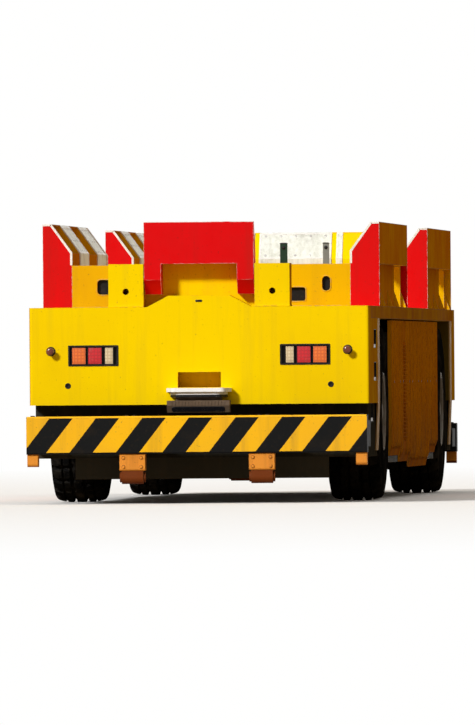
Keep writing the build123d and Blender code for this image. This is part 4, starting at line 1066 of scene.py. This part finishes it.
# Cross wall: rims round its openings, black lids behind them, painted shade seen through the openings, caps and
# eyes on its posts
wall = {
    "openings": ((-0.91, 1.915, 0.21, 0.13, 0.030), (1.025, 1.935, 0.072, 0.13, 0.034),
                 (0.76, 1.842, 0.16, 0.12, 0.020)),                     # x, z, width, height, corner
    "rim": 0.010, "rimEdge": (0.006, 0.002, 5), "lid": 0.012, "lidLap": 0.025, "lidCorner": 0.020,
    "lidEdge": (0.003, 5), "lidScrew": (0.006, 0.002), "lidScrewOut": 0.014,
    "welds": ((-1.23, -0.1), (0.1, 1.23)), "weld": (0.006, 0.020), "weldOff": 0.002,
    "posts": ((0.648, 0.064), (1.025, 0.055)),                          # x, width
    "capLap": 0.008, "cap": (0.046, 0.008, 0.004, 0.006),       # past the width; depth, corner, base, bulge
    "eyeZ": 2.255, "eye": ((0.016, 0), (0.016, 0.004), (0.012, 0.008), (0.004, 0.010), (0.001, 0.0102)),
}


def addWall(size):
    # each opening gets a rim on the wall's rear face and a lid, wider by the lap, on its front face
    low, high = cornersOf("rear_bulkhead")
    face, back, postTop = low[1], high[1], cornersOf("deck_posts")[1][2]
    rims, lids, tops = [], [], []
    screw, rim, lap = headShape("screw", *size["lidScrew"]), size["rim"], size["lidLap"]
    for x, z, wide, tall, corner in size["openings"]:
        shape = frameShape(wide + 2 * rim, tall + 2 * rim, corner + rim, rim, *size["rimEdge"])
        rims.append(repeated(shape, [(x, face, z)], "rear"))
        # the black lid paints the shade seen through the opening
        corner += size["lidCorner"]
        shape = plateShape(wide + 2 * lap, tall + 2 * lap, corner, size["lid"], *size["lidEdge"])
        lids.append(repeated(shape, [(x, back, z)], "front"))
        screwX = x + mirrored(wide / 2 + size["lidScrewOut"])
        lids.append(repeated(screw, spread(screwX, back + size["lid"], z), "front"))
    y, z = face - size["weldOff"], vehicle["floor"]
    rims += [beadShape((start, y, z), (stop, y, z), *size["weld"]) for start, stop in size["welds"]]
    for x, wide in size["posts"]:
        cap = pillowShape(wide + size["capLap"], *size["cap"])
        tops.append(repeated(cap, [(x, (face + back) / 2, postTop)], "top"))
        tops.append(repeated(turnedShape(size["eye"], columns=20), [(x, face, size["eyeZ"])], "rear"))
    addPiece("wall_rims", rims, "guideYellow")
    addPiece("wall_lids", lids, "blackPlastic")
    addPiece("post_caps", tops, "blackPlastic")


# Stands of the end guides: corner welds and the heads of their deck bolts
stands = {
    "rear": {"x": (0.49, 0.80), "y": (-6.97, -6.71), "boltY": -6.62},
    "front": {"x": (0.47, 0.635), "y": (6.71, 6.97), "boltY": 6.64},
    "beside": 0.002, "weld": (0.006, 0.018), "boltX": np.linspace(-0.72, 0.72, 7), "bolt": (0.014, 0.010),
}


def addStands(size):
    # a bead along each stand's outer side and one along its end face, and a row of bolts beside them
    welds, bolts = [], []
    z, off = vehicle["floor"], size["beside"]
    for way, sign in ends:
        (inner, outer), (low, high) = size[way]["x"], size[way]["y"]
        face = low - off if sign < 0 else high + off
        for flip in (-1, 1):
            beside = flip * (outer + off)
            welds.append(beadShape((beside, low, z), (beside, high, z), *size["weld"]))
            welds.append(beadShape((flip * inner, face, z), (flip * outer, face, z), *size["weld"]))
        boltsAt = spread(size["boltX"], size[way]["boltY"], vehicle["deckTop"])
        bolts.append(repeated(headShape("bolt", *size["bolt"]), boltsAt, "top"))
    addPiece("stand_welds", welds, "yellowPaint")
    addPiece("stand_bolts", bolts, "boltSteel")


# Front face: the fold line over its full width, as strips of (x, y, width)
fold = {"z": 1.622, "strips": ((-1.02, 7.0, 0.94), (1.02, 7.0, 0.94), (0, 7.03, 0.975)),
        "section": (0.006, 0.002, 0.0015, 0.0005, 3)}


def addFold(size):
    # three thin strips end to end, the middle one out on the raised part
    strips = [repeated(plateShape(wide, *size["section"]), [(x, y, size["z"])], "front")
              for x, y, wide in size["strips"]]
    addPiece("front_fold_line", strips, "boltSteel")


addGuides(guides)
addWall(wall)
addStands(stands)
addFold(fold)
print("guides done")

# Doors: hinges along the top, cup latches half way up, all behind the ribs' faces
doors = {
    "count": 5, "first": -3.305, "pitch": 1.479, "face": 1.484,
    "hingeAt": (0.2415, 0.7245, 1.2075), "hingeZ": 1.572, "leaf": (0.085, 0.060, 0.006, 0.004, 0.001),
    "barrelOut": 0.008, "barrelUp": 0.026,      # and the upper half of the barrel's profile
    "barrel": ((0.0062, 0.013), (0.0050, 0.0135), (0.0050, 0.0145), (0.0062, 0.015), (0.0062, 0.042),
               (0.002, 0.044)),
    "screw": (0.006, 0.002), "screwAt": 0.025, "screwOut": 0.004, "screwDown": 0.012,
    "latchAt": (0.222, 1.2075), "latchZ": 1.02, "cup": (0.062, 0.135, 0.012, 0.008, 0.006, 0.002, 5),
    "cupBack": (0.050, 0.122, 0.008, 0.0015, 0.0005), "handle": (0.016, 0.085, 0.006, 0.009, 0.003, 5),
    "handleOut": 0.0015, "lockUp": 0.036,
    "lock": ((0.012, 0), (0.012, 0.010), (0.009, 0.0125), (0.002, 0.0128)),
}


def addDoors(size):
    # hinges and latches at the same places on every door; the barrel's profile is mirrored about its middle
    hinges, latches = [], []
    starts = size["first"] + np.arange(size["count"])[:, None] * size["pitch"]
    hingeY, latchY = (starts + size["hingeAt"]).ravel(), (starts + size["latchAt"]).ravel()
    screwY = (hingeY[:, None] + mirrored(size["screwAt"])).ravel()
    barrel = [(radius, -along) for radius, along in size["barrel"][::-1]] + list(size["barrel"])
    for name, sign in sides:
        x, z = sign * size["face"], size["hingeZ"]
        hinges.append(repeated(plateShape(*size["leaf"]), spread(x, hingeY, z), name))
        barrelsAt = spread(x + sign * size["barrelOut"], hingeY, z + size["barrelUp"])
        hinges.append(repeated(turnedShape(barrel, columns=12), barrelsAt, ((0, 0, 1), (1, 0, 0))))
        screwsAt = spread(x + sign * size["screwOut"], screwY, z - size["screwDown"])
        hinges.append(repeated(headShape("screw", *size["screw"]), screwsAt, name))
        onDoor, proud = spread(x, latchY, size["latchZ"]), (sign * size["handleOut"], 0, 0)
        latches.append(repeated(frameShape(*size["cup"]), onDoor, name))
        latches.append(repeated(plateShape(*size["cupBack"]), onDoor, name))
        latches.append(repeated(plateShape(*size["handle"]), onDoor + proud, name))
        locksAt = onDoor + proud + (0, 0, size["lockUp"])
        latches.append(repeated(turnedShape(size["lock"], columns=18), locksAt, name))
    addPiece("door_hinges", hinges, "doorYellow")
    addPiece("door_latches", latches, "blackPlastic")


# Boarding steps: black trays let into the flank, painted shade of their recesses, with a toothed bar on each sill
steps = {
    "y": -6.09, "trays": ((1.5, 1.44), (1.5, 1.15), (1.47, 0.79)),      # face x, z
    "long": 0.398, "tall": 0.163, "corners": (0.004, 0.003), "depth": 0.118, "lip": 0.002, "wall": 0.003,
    "barHalf": 0.19, "barPoints": 77, "barIn": 0.012, "barDown": 0.0785, "barRise": 0.020, "barThick": 0.006,
    "tooth": 0.009, "toothPitch": 0.02, "toothShare": 0.28,
}


def addSteps(size):
    # the bar's upper edge is raised by a tooth in the middle share of each pitch
    trays, bars = [], []
    thin = size["wall"]
    outer = roundedOutline(size["long"], size["tall"], size["corners"][0])
    inner = roundedOutline(size["long"] - 2 * thin, size["tall"] - 2 * thin, size["corners"][1])
    levels = (-size["depth"], -size["lip"], -size["lip"], thin - size["depth"])
    tray = lofted(stacked((outer, outer, inner, inner), levels))
    along = np.linspace(-size["barHalf"], size["barHalf"], size["barPoints"])
    toothed = np.abs(along / size["toothPitch"] % 1.0 - 0.5) < size["toothShare"]
    upper, thick = size["barRise"] + size["tooth"] * toothed, size["barThick"]
    rows = [np.column_stack([along, height + 0 * along, np.full_like(along, out)])
            for height, out in ((0, 0.0), (upper, 0.0), (upper, thick), (0, thick))]
    bar = lofted(np.stack(rows, 1))
    for name, sign in sides:
        places = np.array([(sign * x, size["y"], z) for x, z in size["trays"]])
        trays.append(repeated(tray, places, name))
        bars.append(repeated(bar, places - (sign * size["barIn"], 0, size["barDown"]), name))
    # black trays: painted shade of the step recesses
    addPiece("step_trays", trays, "blackPlastic")
    addPiece("step_bars", bars, "boltSteel")


# Deck: bolted cover plates along the load floor, and a row of screws in each edge
deck = {
    "first": -4.62, "pitch": 1.45, "count": 8,
    "cover": (2.26, 1.38, 0.03, 0.0028, 0.001),
    "screw": (0.012, 0.001), "screwX": np.linspace(-1.07, 1.07, 6), "screwY": 0.64,
}


def addDeckCovers(size):
    # plates at an even pitch along the floor, and a row of screws at both ends of each
    coverY = size["first"] + np.arange(size["count"]) * size["pitch"]
    covers = repeated(plateShape(*size["cover"]), spread(0, coverY, vehicle["floor"]), "top")
    screwY = (coverY[:, None] + mirrored(size["screwY"])).ravel()
    screwsAt = spread(size["screwX"], screwY, vehicle["floor"] + size["cover"][3])
    addPiece("deck_covers", [covers], "deckPaint")
    addPiece("deck_screws", [repeated(headShape("screw", *size["screw"]), screwsAt, "top")], "boltSteel")


addDoors(doors)
addSteps(steps)
addDeckCovers(deck)
print("doors, steps and deck done")

# Tyres: a section from bead to bead, with blocks cut into the crown
tyres = {
    "around": 384, "crownHalf": 0.205, "crownPoints": 35, "shoulderDrop": 0.022, "seat": 0.318,
    "boreIn": 0.06, "boreDrop": 0.002,
    "blocks": 32, "blockHalf": 0.33, "slant": 0.22,     # around the tyre; half of one's share of its pitch
    "sideShift": 0.25, "shiftFrom": 0.12,               # of the pitch, outside this share of the half crown
    "grooves": ((0.25, 0.045), (0.62, 0.03)),           # share of the half crown, half width
    "grooveDepth": 0.030, "cutFrom": 0.035,             # below the crown
    "ribHalf": 0.032,                                   # the middle rib isn't cut across
    # wall: in from the half width, out from the seat; shoulder: in from the half width, below the crown
    "wall": ((0.028, 0.0), (0.030, 0.030), (0.010, 0.075), (0.003, 0.12), (0.003, 0.135), (0.0005, 0.140),
             (0.0, 0.23), (0.004, 0.30), (0.009, 0.306), (0.012, 0.37)),
    "shoulder": ((0.022, 0.050), (0.034, 0.030)),
}


def tyreSurface(size, radius, halfWidth):
    # a section run from one bead over the crown to the other; the radius drops by the groove depth
    # where the block pattern of angle and width is off
    seat, half = size["seat"], size["crownHalf"]
    side = np.array([(halfWidth - inwards, seat + out) for inwards, out in size["wall"]]
                    + [(halfWidth - inwards, radius - below) for inwards, below in size["shoulder"]])
    crown = np.linspace(half, -half, size["crownPoints"])
    top = np.stack([crown, radius - size["shoulderDrop"] * np.abs(crown / half) ** 4], -1)
    bore = np.array([[-1, 1], [1, 1]]) * [halfWidth - size["boreIn"], seat - size["boreDrop"]]
    section = np.concatenate([side, top, side[::-1] * [-1, 1], bore])
    turn = np.linspace(0, 2 * np.pi, size["around"], endpoint=False)[:, None]
    across, outward = section[:, 0][None, :], section[:, 1][None, :]
    lane = np.abs(across) / half
    shift = size["sideShift"] * np.sign(across) * (lane > size["shiftFrom"]) + size["slant"] * across / half
    block = np.abs((turn * size["blocks"] / (2 * np.pi) + shift) % 1.0 - 0.5) < size["blockHalf"]
    groove = np.any([np.abs(lane - at) < wide for at, wide in size["grooves"]], axis=0)
    hollow = groove | (~block & (np.abs(across) >= size["ribHalf"]))
    cut = (outward > radius - size["cutFrom"]) & hollow
    reach = outward - np.where(cut, size["grooveDepth"], 0.0)
    points = np.stack([np.broadcast_to(across, reach.shape), reach * np.cos(turn), reach * np.sin(turn)], -1)
    return points.reshape(-1, 3), [gridFaces(size["around"], len(section), True, True)]


# Wheels: nuts and studs, hub cover bolts and cap, lock ring and valve, as places out of the wheel's middle
wheels = {
    "disc": 0.095, "nuts": 10, "nutCircle": 0.246, "nut": (0.019, 0.030),
    "stud": ((0.010, 0.0), (0.010, 0.040), (0.008, 0.043), (0.001, 0.0432)),
    "valve": ((0.007, 0.0), (0.007, 0.022), (0.0045, 0.024), (0.0045, 0.040), (0.0055, 0.042),
              (0.0055, 0.050), (0.002, 0.052)),
    "valveCircle": 0.285, "valveTurn": 0.7,
    "cover": 0.205, "coverBolts": 8, "coverCircle": 0.135, "coverTurn": 0.2, "coverBolt": (0.010, 0.009),
    "cap": ((0.090, 0.0), (0.090, 0.006), (0.082, 0.014), (0.060, 0.021), (0.030, 0.025), (0.002, 0.026)),
    "lockOut": 0.2295, "lock": ((0.325, 0.0), (0.345, 0.0), (0.347, 0.006), (0.341, 0.0085), (0.329, 0.0085)),
}


def addWheel(size, place, side, sign):
    # the tyre's size is its CAD node's; nuts and bolts stand in circles about the spin joint's place
    wheel = f"{place}_{side}_wheel"
    low, high = (np.array(corner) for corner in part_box(f"{place}_{side}_tyre"))
    width, height = (high - low)[[0, 2]]
    points, faces = tyreSurface(tyres, height / 2, width / 2)
    tread = addPiece(f"{place}_{side}_tread_tyre", [(points + (low + high) / 2, faces)], "tyreRubber",
                     wheel, crease=40)
    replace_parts(tread, f"{place}_{side}_tyre")
    hub = np.array(jointAt[f"{place}_{side}_spin"])
    disc, cover, lock = (hub + (sign * size[part], 0, 0) for part in ("disc", "cover", "lockOut"))
    nutsAt = disc + onCircle(size["nuts"], size["nutCircle"])
    coverBoltsAt = cover + onCircle(size["coverBolts"], size["coverCircle"], size["coverTurn"])
    valveAt = disc + onCircle(1, size["valveCircle"], size["valveTurn"])
    fixings = [repeated(headShape("bolt", *size["nut"]), nutsAt, side),
               repeated(turnedShape(size["stud"], columns=12), nutsAt, side),
               repeated(headShape("bolt", *size["coverBolt"]), coverBoltsAt, side),
               repeated(turnedShape(size["valve"], columns=12), valveAt, side)]
    addPiece(f"{place}_{side}_wheel_nuts", fixings, "boltSteel", wheel)
    shapes = [repeated(turnedShape(size["cap"], columns=32), [cover], side),
              repeated(turnedRing(size["lock"], columns=64), [lock], side)]
    addPiece(f"{place}_{side}_hub_cap", shapes, "rimPaint", wheel)


for place in axleY:
    for side, sign in sides:
        addWheel(wheels, place, side, sign)
print("wheels done")

# Axles: ribbed motor, bolted drive covers, kingpin caps, spring bellows, glands and lock nuts of the steering
running = {
    "motor": (0.20, 0.72), "motorRadius": 0.165, "fins": 13, "finRise": 0.014,
    "finRoot": 0.001, "closedBy": 0.002, "closedPast": 0.001,       # over, under and past the drum
    "motorEnd": ((0.150, 0.750), (0.150, 0.756), (0.10, 0.760), (0.03, 0.761), (0.002, 0.7612)),
    "coverX": 0.19, "cover": ((0.185, 0.0), (0.185, 0.006), (0.180, 0.010), (0.150, 0.012), (0.145, 0.010)),
    "coverBolts": 12, "coverCircle": 0.166, "coverBolt": (0.009, 0.008), "coverBoltOut": 0.010,
    "capRise": 0.21, "cap": ((0.070, 0.0), (0.070, 0.006), (0.060, 0.012), (0.030, 0.016), (0.010, 0.017),
                             (0.008, 0.024), (0.002, 0.025)),
    "capBolts": 4, "capCircle": 0.095, "capTurn": 0.6, "capBolt": (0.010, 0.009),
    "strutX": 0.43, "strutZ": (0.902, 1.008), "bellows": 0.060, "bellowsBore": 0.046, "waves": 5,
    "waveRise": 0.011, "wavePoints": 6,
    "rodRise": 0.052, "rodReach": 0.235, "glandX": 0.300, "nutX": 0.80,
    "gland": ((0.0225, 0.0), (0.041, 0.0), (0.041, 0.010), (0.036, 0.018), (0.0225, 0.018)),
    "nut": ((0.0225, -0.012), (0.033, -0.012), (0.035, -0.008), (0.035, 0.008), (0.033, 0.012),
            (0.0225, 0.012)),
}


def motorShape(size):
    # a drum whose radius steps up and down by the fins' rise, two points to each step
    start, stop = size["motor"]
    along = np.linspace(start, stop, size["fins"] * 4)
    radius = size["motorRadius"] + size["finRoot"] + size["finRise"] * (np.arange(len(along)) // 2 % 2)
    closed, past = size["motorRadius"] - size["closedBy"], size["closedPast"]
    return turnedShape([(closed, start - past), *zip(radius, along), (closed, stop + past)], columns=40)


def bellowsShape(size):
    # a tube whose outer radius follows a sine along its height
    low, high = size["strutZ"]
    along = np.linspace(low, high, size["waves"] * size["wavePoints"])
    turns = (along - low) / (high - low) * size["waves"]
    outer, bore = size["bellows"] + size["waveRise"] * np.sin(turns * 2 * np.pi), size["bellowsBore"]
    return turnedRing([*zip(outer, along), (bore, high), (bore, low)], columns=28)


def addRunningGear(size):
    # all places come from the joints: middle is the axle's, pin a kingpin's end, rod the cylinder's middle
    motors, covers, caps, bellows, glands = [], [], [], [], []
    bolts = {part: headShape("bolt", *size[part + "Bolt"]) for part in ("cover", "cap")}
    for place, sign in ends:
        way = "front" if sign < 0 else "rear"           # the side that the motor points to
        middle = np.array([0.0, *jointAt[f"{place}_left_spin"][1:]])
        rod = middle + (0, sign * size["rodReach"], size["rodRise"])
        motors.append(repeated(motorShape(size), [middle], way))
        motors.append(repeated(turnedShape(size["motorEnd"], columns=32), [middle], way))
        for side, flip in sides:
            end = middle + (flip * size["coverX"], 0, 0)
            covers.append(repeated(turnedShape(size["cover"], columns=40), [end], side))
            circle = onCircle(size["coverBolts"], size["coverCircle"])
            covers.append(repeated(bolts["cover"], end + (flip * size["coverBoltOut"], 0, 0) + circle, side))
            for rise, up in ((size["capRise"], "top"), (-size["capRise"], "under")):
                pin = np.array(jointAt[f"{place}_{side}_steer"]) + (0, 0, rise)
                circle = onCircle(size["capBolts"], size["capCircle"], size["capTurn"])[:, [1, 2, 0]]
                caps.append(repeated(turnedShape(size["cap"]), [pin], up))
                caps.append(repeated(bolts["cap"], pin + circle, up))
            bellows.append(repeated(bellowsShape(size), [(flip * size["strutX"], middle[1], 0)], "top"))
            gland = turnedRing(size["gland"], columns=24)
            glands.append(repeated(gland, [rod + (flip * size["glandX"], 0, 0)], side))
        nutsAt = spread(mirrored(size["nutX"]), *rod[1:])
        nuts = repeated(turnedRing(size["nut"], columns=6), nutsAt, "right")
        addPiece(f"{place}_rod_nuts", [nuts], "wornSteel", f"{place}_steering_rod")
    addPiece("drive_motors", motors, "darkFrame", crease=25)
    addPiece("drive_covers", covers, "darkFrame")
    addPiece("kingpin_caps", caps, "boltSteel")
    addPiece("strut_bellows", bellows, "tyreRubber", crease=60)
    addPiece("cylinder_glands", glands, "wornSteel")


# Underside: pressed ribs and bolts of the belly pan
belly = {
    "rib": (0.10, 0.62, 0.048, 0.001, 0.009),
    "ribX": (-0.36, 0.0, 0.36), "first": -2.82, "pitch": 0.80, "count": 9,
    "bolt": (0.011, 0.008), "boltX": 0.585, "boltY": np.linspace(-3.2, 3.95, 16),
}


def addBelly(size):
    # ribs in three rows at an even pitch, and a row of bolts along each side
    under = cornersOf("belly_pan")[0][2]
    ribY = size["first"] + size["pitch"] * np.arange(size["count"])
    ribs = repeated(pillowShape(*size["rib"]), spread(size["ribX"], ribY, under), "under")
    addPiece("belly_ribs", [ribs], "darkFrame", crease=60)
    boltsAt = spread(mirrored(size["boltX"]), size["boltY"], under)
    bolts = repeated(headShape("bolt", *size["bolt"]), boltsAt, "under")
    addPiece("belly_screws", [bolts], "boltSteel")


addRunningGear(running)
addBelly(belly)
print("running gear and underside done")
